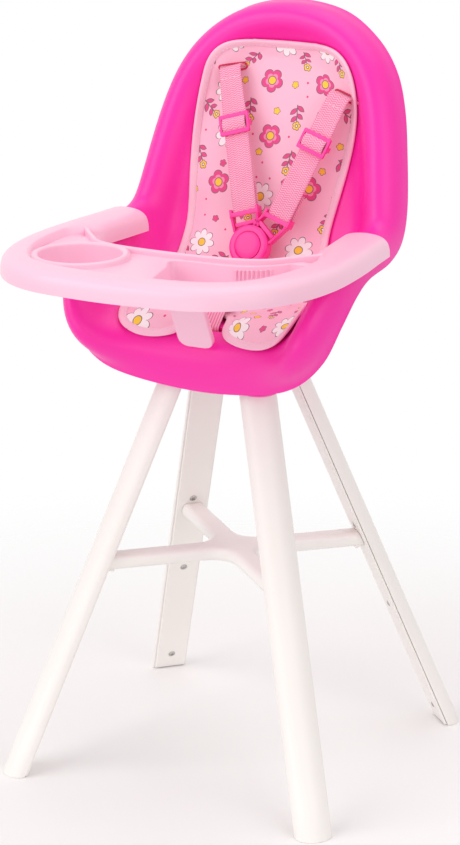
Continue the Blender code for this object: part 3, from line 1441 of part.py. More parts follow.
def crotch_strap(harness, slot):
    """Loop round the buckle's bar, down to the pad, forward and through the slot to its hem."""
    bar = -BUCKLE_RADIUS - GAP - TAB_SLOT - LOOP_BAR / 2
    offset = LOOP_BAR / 2 + GAP * 2 + WEB_THICKNESS / 2
    rise, out = harness.col[1].to_3d(), harness.col[2].to_3d()
    centre = harness @ Vector((0, bar, 0))
    points = [centre - rise * LOOP_BAR * 2.6 + out * offset, centre - rise * LOOP_BAR + out * offset]
    for step in range(9):
        turn = math.pi * step / 8
        points.append(centre + rise * offset * math.sin(turn) + out * offset * math.cos(turn))
    points.append(centre - rise * LOOP_BAR * 1.2 - out * offset)
    route = [points[-1]]
    for forward, up in CROTCH_ROUTE_SHARES:
        route.append(Vector((0, BACK_Y + forward * (FRONT_Y - BACK_Y), SEAT_Z + up * FLANGE_RISE)))
    turn = SLOT_HEIGHT / 2
    for run, stand in ((1.7, 1.15), (0.5, 0.85), (0, 0)):
        route.append(slot @ Vector((0, run * turn, stand * turn)))
    ahead = slot @ Vector((0, 0, -turn))
    rows = np.array([tuple(point)[1:] for point in route])
    curve = refine(rows, 3, 2 * rows[0] - rows[1], np.array(tuple(ahead)[1:]))
    path = [tuple(point)[1:] for point in points[:-1]] + [tuple(point) for point in curve]
    under = WALL + STOP_THICKNESS + 2 * GAP
    for depth in (WALL, under, under + GAP, under + GAP + HEM_LENGTH * 0.96):
        path.append(tuple(slot @ Vector((0, 0, -depth)))[1:])
    strap = ribbon("crotch_strap", path, Matrix(), hem(path, HEM_LENGTH))
    return strap


def strap_stop(name, matrix):
    """Flat frame that the strap's thick hem bears against."""
    hole_x = WEB_WIDTH + 2 * PRONG_GAP
    hole_y = WEB_THICKNESS + 2 * PRONG_GAP
    outer_x, outer_y = hole_x + 2 * STOP_RIM, hole_y + 2 * STOP_RIM
    frame = ring_plate(name, outer_x, outer_y, hole_x, hole_y, 0, STOP_THICKNESS, matrix)
    return smooth(frame)


def harness_pieces(harness, frames, length, crotch):
    for name, matrix in frames.items():
        _, depth = shoulder_strap(f"shoulder_strap_{name}", matrix, length)
        adjuster(f"strap_adjuster_{name}", matrix, length)
        tongue(f"strap_tongue_{name}", matrix, harness)
        stop = matrix @ Matrix.Translation((0, length, depth + HEM_LENGTH + GAP))
        strap_stop(f"strap_stop_{name}", stop)
    buckle_body(harness, frames)
    _, under = buckle_button(harness)
    buckle_spring(harness, under)
    crotch_strap(harness, crotch)
    strap_stop("crotch_strap_stop", crotch @ Matrix.Translation((0, 0, -WALL - GAP - STOP_THICKNESS)))


def settle_origin():
    """Hang every part from one empty, moved so that the origin is below the middle of the whole."""
    bpy.context.view_layer.update()
    graph = bpy.context.evaluated_depsgraph_get()
    corners = []
    for obj in PARTS.objects:
        found = obj.evaluated_get(graph)
        mesh = found.to_mesh()
        corners += [found.matrix_world @ vertex.co for vertex in mesh.vertices]
        found.to_mesh_clear()
    ends = np.array(corners)
    middle = (ends.min(axis=0) + ends.max(axis=0)) / 2
    root = bpy.data.objects.new("chair_frame", None)
    PARTS.objects.link(root)
    for obj in list(PARTS.objects):
        if obj != root:
            obj.parent = root
    root.location = (-middle[0], -middle[1], 0)
    print("origin moved by", -middle[0], -middle[1])


def build():
    harness, frames, length = strap_frames()
    crotch = crotch_slot_matrix()
    top = Matrix.Translation((0, length, 0))
    strap_slots = [slot_cutter(f"strap_slot_{name}", frames[name] @ top, STRAP_TAIL * 2) for name in frames]
    crotch_slot = slot_cutter("crotch_slot", crotch, OVERRUN)
    seat_shell(strap_slots, crotch_slot)
    screw_mesh = smooth(screw())
    legs(screw_mesh)
    leg_hub()
    hub_screws(screw_mesh)
    bpy.data.objects.remove(screw_mesh, do_unlink=True)
    leg_brace()
    tray()
    crotch_post()
    seat_pad(strap_slots)
    harness_pieces(harness, frames, length, crotch)
    settle_origin()


build()
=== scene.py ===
"""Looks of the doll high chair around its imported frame: finer moulded skins, a bound and printed
pad, a woven harness, their finishes, a pale studio and the photograph's camera.

Metres, +Z up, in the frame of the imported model. The chair's front faces -Y.
"""

import math

import bmesh
import bpy
import numpy as np
from mathutils import Matrix, Vector, noise
from mathutils.bvhtree import BVHTree


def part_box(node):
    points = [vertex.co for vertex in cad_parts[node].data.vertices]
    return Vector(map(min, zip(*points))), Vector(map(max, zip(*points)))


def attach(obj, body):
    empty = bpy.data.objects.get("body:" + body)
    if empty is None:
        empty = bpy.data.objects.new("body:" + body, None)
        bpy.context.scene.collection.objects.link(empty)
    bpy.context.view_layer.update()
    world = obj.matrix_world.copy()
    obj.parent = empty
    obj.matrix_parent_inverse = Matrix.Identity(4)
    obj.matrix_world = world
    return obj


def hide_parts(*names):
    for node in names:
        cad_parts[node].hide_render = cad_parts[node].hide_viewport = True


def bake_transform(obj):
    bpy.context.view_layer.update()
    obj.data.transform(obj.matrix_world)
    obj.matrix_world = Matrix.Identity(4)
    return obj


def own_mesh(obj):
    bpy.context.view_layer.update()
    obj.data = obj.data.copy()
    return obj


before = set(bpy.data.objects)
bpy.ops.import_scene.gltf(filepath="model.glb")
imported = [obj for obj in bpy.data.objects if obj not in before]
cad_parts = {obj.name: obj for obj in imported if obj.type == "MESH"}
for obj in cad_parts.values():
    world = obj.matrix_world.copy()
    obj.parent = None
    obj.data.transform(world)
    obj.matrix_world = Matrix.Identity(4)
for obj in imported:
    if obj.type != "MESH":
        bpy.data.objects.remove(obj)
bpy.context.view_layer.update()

# The chair's own middle, from which all places below are measured
BRACE_LOW, BRACE_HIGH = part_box("leg_brace")
CENTRE = Matrix.Translation((0, (BRACE_LOW.y + BRACE_HIGH.y) / 2, 0))
FLIP = np.array((-1, 1, 1))

# Camera at the photograph's viewing angle
CAMERA_TURN = math.radians(27.7)
CAMERA_TILT = math.radians(17.1)
CAMERA_ROLL = math.radians(-0.35)
CAMERA_DISTANCE = 2.188
CAMERA_TARGET_X = -0.0031
CAMERA_TARGET_Z = 0.2849
CAMERA_LENS = 114.4

# Studio
AMBIENT_STRENGTH = 0.62
FLOOR_CLEAR = 0.28
FLOOR_FADED = 0.75
FLOOR_HALF_SIZE = 4
# Place, target, size and power of each light
LIGHTS = {
    "key": ((-1.6, -2.2, 2.2), (0, 0, 0.42), (2.6, 2.6), 38),
    "side": ((2.6, -1.2, 1.4), (0, 0, 0.42), (2.0, 2.6), 17),
    "top": ((0.2, 0.5, 2.8), (0, 0, 0.42), (2.4, 2.0), 16),
    "low": ((-0.3, -1.9, 0.25), (0, 0, 0.33), (2.2, 0.4), 5),
}

# Seat shell
CROWN_Z = 0.6135
SEAT_Z = 0.378
ARM_EDGE_Z = 0.424
APRON_Z = 0.3245
BACK_HALF_WIDTH = 0.12
ARM_HALF_WIDTH = 0.125
BACK_Y = 0.045
BACK_SLOPE = 0.33
BACK_LEAN = math.degrees(math.atan(BACK_SLOPE))
FRONT_Y = -0.051
WALL = 0.0026
GAP = 0.0003
OVERRUN = 0.01
MITER_LIMIT = 0.4
WELD_REACH = 0.00002
FLANGE_WIDTH = 0.028
FLANGE_RISE = 0.028
RIM_ROUND = 0.0009
BACK_RIM_SHARES = (
    (0, 1), (0.35, 0.972), (0.61, 0.892), (0.783, 0.79), (0.883, 0.667), (0.95, 0.51), (1, 0.348),
)
FRONT_RIM_SHARES = (
    (0.976, -0.135, 1.12), (0.992, 0.156, 1.01), (1, 0.573, 0.97), (1, 0.81, 0.88), (0.975, 1.01, 0.69),
    (0.88, 1.1, 0.4), (0.71, 1.14, 0.19), (0.45, 1.09, 0.07), (0, 1.02, 0),
)
RIM_PITCH = (50, 85, 90, 65, 25, 6, 0, 0, 0)
PAN_PITCH = (25, 45, 75, 90, 90, 90, 90, 90, 90)
BACK_SECTION = ((0, 0), (0.05, 0.46), (0.32, 0.86), (0.68, 1), (1, 0.79), (1.25, 0.36), (1.57, 0.07))
ARM_SECTION = ((0, 0), (0.04, 0.39), (0.21, 0.71), (0.54, 0.86), (0.86, 0.66), (1.11, 0.07), (1.36, -0.86))
CORNER_SECTION = ((0, 0), (0.02, 0.5), (0.18, 0.96), (0.46, 1.25), (0.79, 1.11), (1.04, 0.57), (1.21, -0.14))
VALLEY_SECTION = ((0, 0), (0.14, 0.32), (0.36, 0.61), (0.64, 0.64), (0.96, 0.36), (1.25, 0), (1.54, -0.43))
APRON_SECTION = ((0, 0), (0.32, 0.09), (0.71, 0.18), (1.11, 0.16), (1.41, 0.02), (1.64, -0.21), (1.82, -0.5))
BACK_SPINE_SHARES = (0.824, 0.798, 0.739, 0.667, 0.56, 0.433, 0.306, 0.2)
SEAT_SPINE_SHARES = (
    (-0.03, 0.71), (0.094, 0.18), (0.219, 0.036), (0.323, 0), (0.417, 0), (0.5, 0), (0.563, 0), (0.594, 0),
)
RELAX_SHARE = 0.6
FLOOR_SHARE = 0.66
FLOOR_LEVEL_SHARE = 0.06
SHELL_STEPS = 7

# Legs and screws
FOOT_X = 0.1386
FOOT_Y = 0.132
LEG_LEAN = math.radians(23.1)
LEG_WIDTH = 0.03
LEG_CHANNEL_DEPTH = 0.0132
LEG_TOP_Z = 0.363
COVER_THICKNESS = 0.002
LEG_DEPTH = LEG_CHANNEL_DEPTH + GAP + COVER_THICKNESS
LEG_EDGE = 0.0007
LEG_EDGE_STEP = LEG_EDGE * 0.3
LEG_RINGS = 12
LEG_SIDES = (("front_left", -1, -1), ("front_right", 1, -1), ("rear_left", -1, 1), ("rear_right", 1, 1))
LEG_SCREW_Z = (0.018, 0.116, 0.19)
LEG_SECTION_SHARES = ((0, 0.5), (0.25, 0.5), (0.5, 0.457), (0.72, 0.372), (0.88, 0.25), (0.97, 0.12), (1, 0))
HUB_TOP_Z = 0.3745
HUB_DECK = 0.008
HUB_BOSS_CIRCLE = 0.013
SCREW_HEAD_RADIUS = 0.0028
SCREW_HEAD_HEIGHT = 0.0014
SCREW_SHANK_RADIUS = 0.0014
SCREW_SHANK_LENGTH = 0.006
SCREW_SLOT_WIDTH = 0.0006
SCREW_SLOT_DEPTH = 0.0008
SCREW_SLOT_REACH = SCREW_HEAD_RADIUS * 0.62
SCREW_RIM_SHARE = 0.35
SCREW_SIDES = 28

# Tray
TRAY_CREST_Z = 0.4504
RAIL_HALF_X = 0.1155
RAIL_FRONT_Y = -0.187
RAIL_LENGTH = 0.205
RAIL_HALF_WIDTH = 0.0215
RAIL_HEIGHT = 0.0175
SHELF_Z = 0.4442
SKIRT_Z = 0.4329
LIP_Y = -0.101
LIP_HALF_X = 0.0935
LIP_REACH = 0.061
LIP_THICKNESS = 0.0036
LIP_HEIGHT = 0.0045
LIP_ROUND = 0.0016
BASIN_DEPTH = 0.017
BASIN_DRAFT = 0.002
BASIN_FLOOR_RADIUS = 0.003
BASIN_EDGE = 0.001
BASIN_BRIM = BASIN_EDGE * 1.3
CUP_X = -0.064
CUP_Y = -0.13
CUP_RADIUS = 0.0385
CUP_RING_WIDTH = 0.006
CUP_RING_HEIGHT = 0.0042
CUP_DEPTH = 0.019
CUP_DRAFT = 0.0035
CUP_FLOOR_RADIUS = 0.0045
CUP_CROWN_SHARE = 0.62
CUP_FLARE = 0.0004
CUP_FLARE_HEIGHT = 0.0006
CUP_FOOT_FLARE = 0.0012
CUP_SIDES = 72
RIB_COUNT = 9
RIB_PITCH = 0.0029
RIB_WIDTH = 0.0014
RIB_STAND = 0.001
RIB_START_X = 0.056
RIB_MARGIN = 0.003
RAIL_PATH_SHARES = (
    (0, 0), (0.39, 0.015), (0.606, 0.044), (0.779, 0.102), (0.9, 0.2), (0.97, 0.317),
    (1, 0.449), (1, 0.571), (0.983, 0.717), (0.952, 0.863), (0.926, 1),
)
RAIL_OUTER_SHARES = ((1, -1), (0.977, -0.63), (0.86, -0.3), (0.56, -0.086), (0, 0))
RAIL_ARM_SHARES = ((-0.56, -0.086), (-0.86, -0.3), (-0.977, -0.63), (-1, -1))
RAIL_DECK_SHARES = ((-0.14, -0.06), (-0.27, -0.26), (-0.39, -0.354), (-1, -0.354))
RAIL_WIDTH_SHARES = (0.86, 0.86, 0.86, 0.82, 0.9, 0.97, 1, 1, 1, 1, 1)
RAIL_BLEND_SHARES = (0, 0, 0, 0, 0, 0, 0, 0, 1, 1, 1)
DECK_REACH_SHARES = (0, 0.12, 0.24, 0.37, 0.5, 0.62, 0.7, 0.76)
DECK_TUCK_SHARE = 0.4
LIP_PATH_SHARES = (
    (0, 0), (0.32, 0.016), (0.588, 0.066), (0.8, 0.197), (0.941, 0.426), (1.05, 0.62), (1.16, 0.82),
)
BASIN_SHARES = (
    (0.045, 0.4), (0.45, 0.417), (0.62, 0.454), (0.736, 0.512), (0.788, 0.544), (0.892, 0.537),
    (0.925, 0.449), (0.892, 0.327), (0.822, 0.22), (0.71, 0.141), (0.52, 0.083), (0.303, 0.059),
    (0.19, 0.056), (0.135, 0.17), (0.085, 0.29),
)

# Seat pad
PAD_THICKNESS = 0.0078
PAD_EDGE_THICKNESS = 0.002
PAD_CROWN_REACH = 0.026
PAD_TOP_Z = 0.579
PAD_HALF_WIDTH = 0.074
PAD_NOTCH_HALF_WIDTH = 0.016
PAD_LIFT = 0.001
PAD_FRONT_LIFT = 0.0016
PAD_PUCKER = 0.0008
PUCKER_SCALE = 130
PUCKER_SEED = 3.7
PUCKER_INSET = 0.004
PUCKER_REACH = 0.005
PAD_CREASE = 0.00055
CREASE_SCALE_X = 26
CREASE_SCALE_Y = 22
CREASE_SEED = 9.1
CREASE_INSET = 0.02
SEAM_INSET = 0.003
PAD_STEPS = 5
BINDING_WIDTH = 0.0054
BINDING_STITCH_IN = 0.0042
BINDING_PITCH = 0.0018
SWELL_SHARE = 0.05
SWELL_SCALE = 170
SWELL_SEEDS = (0.3, 1.9)
OUTLINE_ROUNDS = 60
OUTLINE_PITCH = 0.001
OUTLINE_REACH = 0.006
PAD_TOP_BOW = (0.0014, 0.0006)
PAD_LOBE_BOW = (0.001, 0.0028, 0.006)
STITCH_LENGTH = 0.0024
STITCH_PITCH = 0.0036
STITCH_RADIUS = 0.00032
STITCH_SHARES = ((0.0, 0.25), (0.18, 0.85), (0.5, 1.0), (0.82, 0.85), (1.0, 0.25))
SLOT_TRIM_RADIUS = 0.0007
SLOT_TRIM_MARGIN = 0.0012
SLOT_TRIM_PITCH = 0.0012
PAD_BACK_SHARES = (
    (1, 0.40), (0.982, 0.60), (0.95, 0.755), (0.9, 0.865), (0.83, 0.93),
    (0.74, 0.965), (0.64, 0.98), (0.54, 0.985), (0.44, 0.985), (0.34, 0.985), (0.25, 0.985),
)
PAD_SEAT_SHARES = (
    (-0.06, 0.86, 32, 0.985), (0.02, 0.36, 52, 0.985), (0.13, 0.12, 74, 0.985), (0.27, 0.02, 88, 0.99),
    (0.42, 0, 90, 1), (0.57, 0, 90, 1.02), (0.70, 0, 90, 1.05),
)
PAD_LOBE_SHARES = (
    (0.79, 0, 86, 1.04, 0.7), (0.86, -0.03, 74, 1.04, 1), (0.93, -0.12, 56, 1.02, 1.06),
    (0.98, -0.26, 36, 0.98, 1.12), (1, -0.38, 20, 0.9, 1.4), (1, -0.47, 12, 0.76, 2.1),
)
# Width of the pad's two sides at heights of its back, and at its lobes: it lies a little to the left
PAD_SIDE_Z = (0.39, 0.436, 0.478, 0.516, 0.54)
PAD_LEFT_SHARES = (1, 1.0, 1.05, 1.05, 1.02)
PAD_RIGHT_SHARES = (0.8, 0.75, 0.87, 0.96, 1)
PAD_LOBE_LEFT_SHARES = (1, 1)
PAD_LOBE_RIGHT_SHARES = (0.82, 1.14)
PAD_ACROSS_SHARES = (0, 0.14, 0.28, 0.42, 0.56, 0.69, 0.81, 0.91, 0.97, 1)
PAD_BACK_ROWS = len(PAD_BACK_SHARES)
PAD_JOINED_ROWS = (PAD_BACK_ROWS + len(PAD_SEAT_SHARES) - 1) * PAD_STEPS + 1

# Harness
WEB_WIDTH = 0.0212
WEB_TOP_WIDTH = 0.0195
WEB_THICKNESS = 0.0014
SELVEDGE = WEB_THICKNESS * 0.35
WEB_STEP = 0.003
NARROWING_START = 0.6
NARROWING_LENGTH = 0.35
STRAP_TOP_X = 0.052
STRAP_TOP_Z = 0.554
STRAP_TOP_STAND = 0.0201
STRAP_FOOT_X = 0.019
STRAP_FOOT_Z = 0.452
SLOT_LENGTH = 0.029
SLOT_HEIGHT = 0.0045
STRAP_RETURN = 0.026
STRAP_TAIL = 0.028
BUCKLE_Z = 0.425
BUCKLE_Y = 0.032
BUCKLE_RADIUS = 0.0172
BUCKLE_THICKNESS = 0.011
BUCKLE_BACK = 0.004
BUCKLE_ROUND = 0.002
BUCKLE_FLOOR = 0.0028
BUCKLE_WELL_EDGE = 0.0004
BUCKLE_WELL_FLARE = 0.0005
BUCKLE_SIDES = 96
BUTTON_RADIUS = 0.0112
BUTTON_FLANGE = 0.001
BUTTON_LIP = 0.0012
TAB_WIDTH = 0.032
TAB_DEPTH = 0.0095
TAB_SHOULDER_SHARE = 0.45
TAB_TOP_SHARE = 0.6
TAB_SLOT = 0.0042
TAB_SLOT_INSET = 0.0016
PRONG_WIDTH = 0.008
PRONG_THICKNESS = 0.0024
PRONG_LENGTH = 0.008
PRONG_GAP = 0.0004
ADJUSTER_WIDTH = 0.0262
ADJUSTER_LENGTH = 0.0172
ADJUSTER_BAR = 0.0033
ADJUSTER_RIM = 0.00165
ADJUSTER_RIM_HALF_LENGTH = 0.0022
ADJUSTER_RIM_BACK = 0.0009
ADJUSTER_BACK_HALF = (0.0013, 0.0008)
ADJUSTER_THICKNESS = 0.0024
ADJUSTER_ROUND = 0.00055
ADJUSTER_WEB_WIDTH = WEB_WIDTH * 0.97
HUMP_SHARE = 0.8
FRAME_CORNER = 0.0012
TONGUE_WIDTH = 0.025
TONGUE_BAR = 0.002
TONGUE_BAR_THICKNESS = 0.0021
TONGUE_BAR_Y = (-0.0019, 0.0018)
TONGUE_HORN_Y = (-0.0026, 0.0045)
TONGUE_LOOP_HALF = 0.0009
TONGUE_RAIL = 0.0019
TONGUE_RAIL_START = 0.001
TONGUE_RAIL_SPREAD = 0.0105
TONGUE_RAIL_BACK = 0.0012
TONGUE_SHOULDER = (0.0032, 0.009)
TONGUE_SHOULDER_LOW = 0.001
TONGUE_SHOULDER_DROP = 0.0009
TONGUE_RAIL_LEAD = 0.0006
TONGUE_RAIL_REACH = BUCKLE_RADIUS + 0.0004
TONGUE_ROUND = 0.0004
PRONG_ROOT = 0.0022
# Each strap as it lies in the photograph, in the harness plane: its foot, its top, its adjuster
STRAP_LINES = {
    "left": ((-0.0092, 0.0262), (-0.046, 0.146), 0.075),
    "right": ((0.0206, 0.0236), (0.0571, 0.13), 0.068),
}
LOOP_BAR = 0.0026
STOP_THICKNESS = 0.002
HEM_THICKNESS = 0.0036
HEM_LENGTH = 0.0045
SEAM_DROP = 0.011
SEAM_HALF_WIDTH = WEB_TOP_WIDTH * 0.47
# Two distances up a strap from its foot, at which points on it are worked out
BLEND_RUNS = (0.044, 0.014)
# Half the distance between the middles of two plies that hold a bar
PLY_RADIUS = TONGUE_BAR * math.sqrt(0.5) + GAP + WEB_THICKNESS / 2
STRAP_FACE = PLY_RADIUS + WEB_THICKNESS / 2
CROTCH_SLOT_ROWS = (10, 12)
CROTCH_ROUTE_SHARES = ((0.36, 0.5), (0.49, 0.48), (0.62, 0.475), (0.755, 0.455), (0.83, 0.29))

# Colours as display levels
MAGENTA_LEVELS = (255, 34, 176)
PALE_PINK_LEVELS = (254, 203, 224)
WHITE_LEVELS = (247, 243, 240)
STEEL_LEVELS = (196, 194, 190)
PAD_LEVELS = (255, 198, 219)
PAD_DEEP_LEVELS = (255, 182, 208)
BINDING_LEVELS = (255, 205, 224)
WEB_LEVELS = (255, 198, 219)
# The webbing's deep pink serves for its random clouding and as painted shade in the gaps of its weave
WEB_CLOUD_AND_GAP_SHADE_LEVELS = (240, 84, 150)
HARDWARE_LEVELS = (254, 48, 160)
THREAD_LEVELS = (255, 222, 233)
SLOT_THREAD_LEVELS = (214, 30, 92)
PETAL_LEVELS = (255, 250, 251)
BLUSH_LEVELS = (250, 150, 190)
DEEP_PINK_LEVELS = (235, 74, 142)
YELLOW_LEVELS = (255, 213, 64)
OUTLINE_LEVELS = (122, 92, 104)

# The print: daisies, blossoms, sprigs and dots
LINE = 0.00033
THIN_LINE = 0.00024
EDGE_SOFTNESS = 0.00012
PRINT_PITCH = 0.043
LARGE_SHIFT = (0.013, 0.004)
SPRIG_SHIFT = tuple(shift + PRINT_PITCH / 2 for shift in LARGE_SHIFT)
LARGE_JITTER = 0.3
LARGE_CLEARANCE = 0.0155
SPRIG_CLEARANCE = 0.015
SMALL_PITCH = 0.0115
SMALL_SHIFT = (0.003, 0.007)
SMALL_JITTER = 0.42
# Start, angle and length of each of a sprig's leaves
LEAVES = ((-0.0075, 38, 0.0078), (-0.0055, 142, 0.0078), (-0.001, 40, 0.0068), (0.001, 140, 0.0068))
LEAF_WIDTH = 0.0017
STEM_HALF_WIDTH = 0.0004
STEM_HALF_LENGTH = 0.0085
STEM_TURN = 2.2
BUD_RISE = 0.0088
BUD_EYE = 0.0011
LARGE_EYE = 0.0034
DOT_RADIUS = 0.001
# Which random numbers of a motif's place give it a dot, a small blossom or a daisy
DOTS_BELOW = 0.42
BLOSSOMS_ABOVE = 0.6
DAISIES_ABOVE = 0.38
# Size, number of petals and depth of the cuts between them
BLOSSOM = (0.003, 5, 0.36)
BUD = (0.0036, 5, 0.36)
DAISY = (0.0118, 8, 0.42)
PINK_BLOSSOM = (0.0098, 5, 0.34)
BLUSH = (0.006, 5, 0.34)
THREAD_PITCH = 0.00062


# Shape helpers


def linear(level):
    """Scene-linear value of a display level between 0 and 255."""
    share = level / 255
    return share / 12.92 if share <= 0.04045 else ((share + 0.055) / 1.055) ** 2.4


def colour_of(levels):
    return (*(linear(level) for level in levels), 1)


def linked(name, data, matrix=None):
    """An object in the scene around a mesh, a light or a camera."""
    piece = bpy.data.objects.new(name, data)
    bpy.context.scene.collection.objects.link(piece)
    piece.matrix_world = matrix or Matrix()
    return piece


def new_piece(name, points, faces, matrix=None):
    mesh = bpy.data.meshes.new(name)
    mesh.from_pydata([tuple(point) for point in points], [], [tuple(face) for face in faces])
    mesh.validate()
    return linked(name, mesh, matrix)


def cleaned(piece, weld=0, turn=True):
    """Weld points nearer than a distance, and turn the faces of a closed mesh outward."""
    bm = bmesh.new()
    bm.from_mesh(piece.data)
    if weld:
        bmesh.ops.remove_doubles(bm, verts=bm.verts, dist=weld)
    if turn:
        bmesh.ops.recalc_face_normals(bm, faces=bm.faces)
    bm.to_mesh(piece.data)
    bm.free()
    return piece


def shaded(piece, degrees):
    piece.data.shade_smooth()
    piece.data.set_sharp_from_angle(angle=math.radians(degrees))
    return piece


def settled(piece):
    """Keep the evaluated mesh as the piece's own."""
    bpy.context.view_layer.update()
    graph = bpy.context.evaluated_depsgraph_get()
    mesh = bpy.data.meshes.new_from_object(piece.evaluated_get(graph))
    piece.modifiers.clear()
    piece.data = mesh
    return piece


def combined(piece, operation, *tools):
    """Cut the tools out of the piece, or join them on, and drop them."""
    for tool in tools:
        modifier = piece.modifiers.new(tool.name, "BOOLEAN")
        modifier.operation = operation
        modifier.solver = "EXACT"
        modifier.object = tool
        settled(piece)
        bpy.data.objects.remove(tool, do_unlink=True)
    return piece


def rounded_edges(piece, width, degrees, segments=2):
    modifier = piece.modifiers.new("rounded_edges", "BEVEL")
    modifier.width = width
    modifier.segments = segments
    modifier.limit_method = "ANGLE"
    modifier.angle_limit = math.radians(degrees)
    modifier.harden_normals = False
    return piece


def set_cloth_map(piece, coordinates):
    """Lay a map in metres over the mesh, from one pair of numbers for each of its points."""
    mesh = piece.data
    layer = mesh.uv_layers.new(name="cloth")
    corners = np.empty(len(mesh.loops), np.int32)
    mesh.loops.foreach_get("vertex_index", corners)
    layer.data.foreach_set("uv", np.asarray(coordinates, np.float32)[corners].ravel())


def fitted(piece, body, finish, *nodes):
    """Put the piece on its body with its finish, in place of the nodes that it stands for."""
    material, slot = finish
    piece.matrix_world = CENTRE @ piece.matrix_world
    piece.data.materials.clear()
    piece.data.materials.append(material)
    if body:
        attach(piece, body)
    if nodes:
        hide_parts(*nodes)
    return piece


def grid_faces(rows, columns, shift=0):
    corners = [shift + i * columns + j for i in range(rows - 1) for j in range(columns - 1)]
    return [(a, a + columns, a + columns + 1, a + 1) for a in corners]


def loft(name, rings, matrix=None, looped=False):
    """A closed solid through rings of as many points each, capped unless it's looped."""
    count, total = len(rings[0]), len(rings)
    points = np.concatenate([np.array(ring, float) for ring in rings])
    faces = []
    for index in range(total if looped else total - 1):
        here, following = index * count, (index + 1) % total * count
        for step in range(count):
            other = (step + 1) % count
            faces.append((here + step, here + other, following + other, following + step))
    if not looped:
        faces += [range(count), range((total - 1) * count, total * count)]
    return cleaned(new_piece(name, points, faces, matrix))


def at_height(outline, z):
    return [(point[0], point[1], z) for point in outline]


def prism(name, outline, low, high, matrix=None):
    return loft(name, [at_height(outline, z) for z in (low, high)], matrix)


def box_solid(name, low, high, matrix=None):
    (x0, y0, z0), (x1, y1, z1) = low, high
    return prism(name, ((x0, y0), (x1, y0), (x1, y1), (x0, y1)), z0, z1, matrix)


def arc(centre, radius, start, end, steps):
    """Points from one angle to another, in degrees, on a circle or on an ellipse of two radii."""
    wide, tall = radius if isinstance(radius, tuple) else (radius, radius)
    turns = [math.radians(start + (end - start) * step / steps) for step in range(steps + 1)]
    return [(centre[0] + wide * math.cos(turn), centre[1] + tall * math.sin(turn)) for turn in turns]


def circle(radius, steps):
    return arc((0, 0), radius, 0, 360, steps)[:-1]


def turned(name, profile, steps, matrix=None):
    """A turned solid from its profile of radius and height, listed from one end to the other."""
    rings = [at_height(circle(max(radius, GAP / 100), steps), height) for radius, height in profile]
    return loft(name, rings, matrix)


def mix(first, second, share):
    """Points part of the way from one table to the other."""
    return [tuple(a + (b - a) * share for a, b in zip(p, q)) for p, q in zip(first, second)]


def refine(rows, steps, before, after):
    """Rows of a smooth surface or curve through the given rows, with a ghost row at each end."""
    padded = np.concatenate([before[None], rows, after[None]])
    finer = []
    for index in range(len(rows) - 1):
        p0, p1, p2, p3 = padded[index : index + 4]
        for step in range(steps):
            t = step / steps
            bend = (3 * p1 - p0 - 3 * p2 + p3) * t**3
            finer.append(0.5 * (2 * p1 + (p2 - p0) * t + (2 * p0 - 5 * p1 + 4 * p2 - p3) * t**2 + bend))
    finer.append(rows[-1])
    return np.array(finer)


def smooth_path(points, steps, before=None):
    """A smooth path through the points, straight on at an end without a ghost point."""
    rows = np.array(points, float)
    return refine(rows, steps, 2 * rows[0] - rows[1] if before is None else before, 2 * rows[-1] - rows[-2])


def mirrored_path(points, steps):
    """A smooth path that starts square to the middle plane."""
    return smooth_path(points, steps, np.array(points[1]) * (-1, 1))


def smooth_outline(points, steps):
    rows = np.array([*points, points[0]], float)
    return refine(rows, steps, rows[-2], rows[1])[:-1]


def unit(rows):
    """Each row with its length set to one."""
    return rows / np.linalg.norm(rows, axis=-1, keepdims=True)


def leftward(rows):
    """Each row turned left by a right angle."""
    return np.stack([-rows[:, 1], rows[:, 0]], axis=1)


def inset(outline, distance):
    """The closed outline moved inward by a distance, or outward by a negative one."""
    points = np.array(outline, float)
    ahead = unit(np.roll(points, -1, axis=0) - points)
    normal = unit(ahead + np.roll(ahead, 1, axis=0))
    area = np.sum(points[:, 0] * np.roll(points[:, 1], -1) - np.roll(points[:, 0], -1) * points[:, 1])
    miter = np.maximum(np.sum(normal * ahead, axis=1), MITER_LIMIT)
    return points + leftward(normal) * (distance / miter)[:, None] * (1 if area > 0 else -1)


def closed(rows):
    return np.concatenate([rows, rows[:1]])


def along_path(points):
    """Distance along a path at each of its points."""
    return np.concatenate([[0], np.cumsum(np.linalg.norm(np.diff(points, axis=0), axis=1))])


def between(wanted, places, rows):
    """The rows read off at the wanted places, between their own."""
    return np.stack([np.interp(wanted, places, column) for column in np.transpose(rows)], axis=-1)


def smoothed_loop(values, rounds):
    for _ in range(rounds):
        values = (np.roll(values, 1, axis=0) + 2 * values + np.roll(values, -1, axis=0)) / 4
    return values


def evenly(values, pitch, *extra):
    """A closed loop resampled at an even pitch, with matching rows of other values."""
    places = along_path(closed(values))
    wanted = np.linspace(0, places[-1], max(int(places[-1] / pitch), 8), endpoint=False)
    return wanted, *(between(wanted, places, closed(table)) for table in (values, *extra))


# Wiring of materials


def wired(operation, reverse=False):
    """A method of a value that wires a math node."""
    def method(self, *others):
        return self.wires.calc(operation, *((*others, self) if reverse else (self, *others)))

    return method


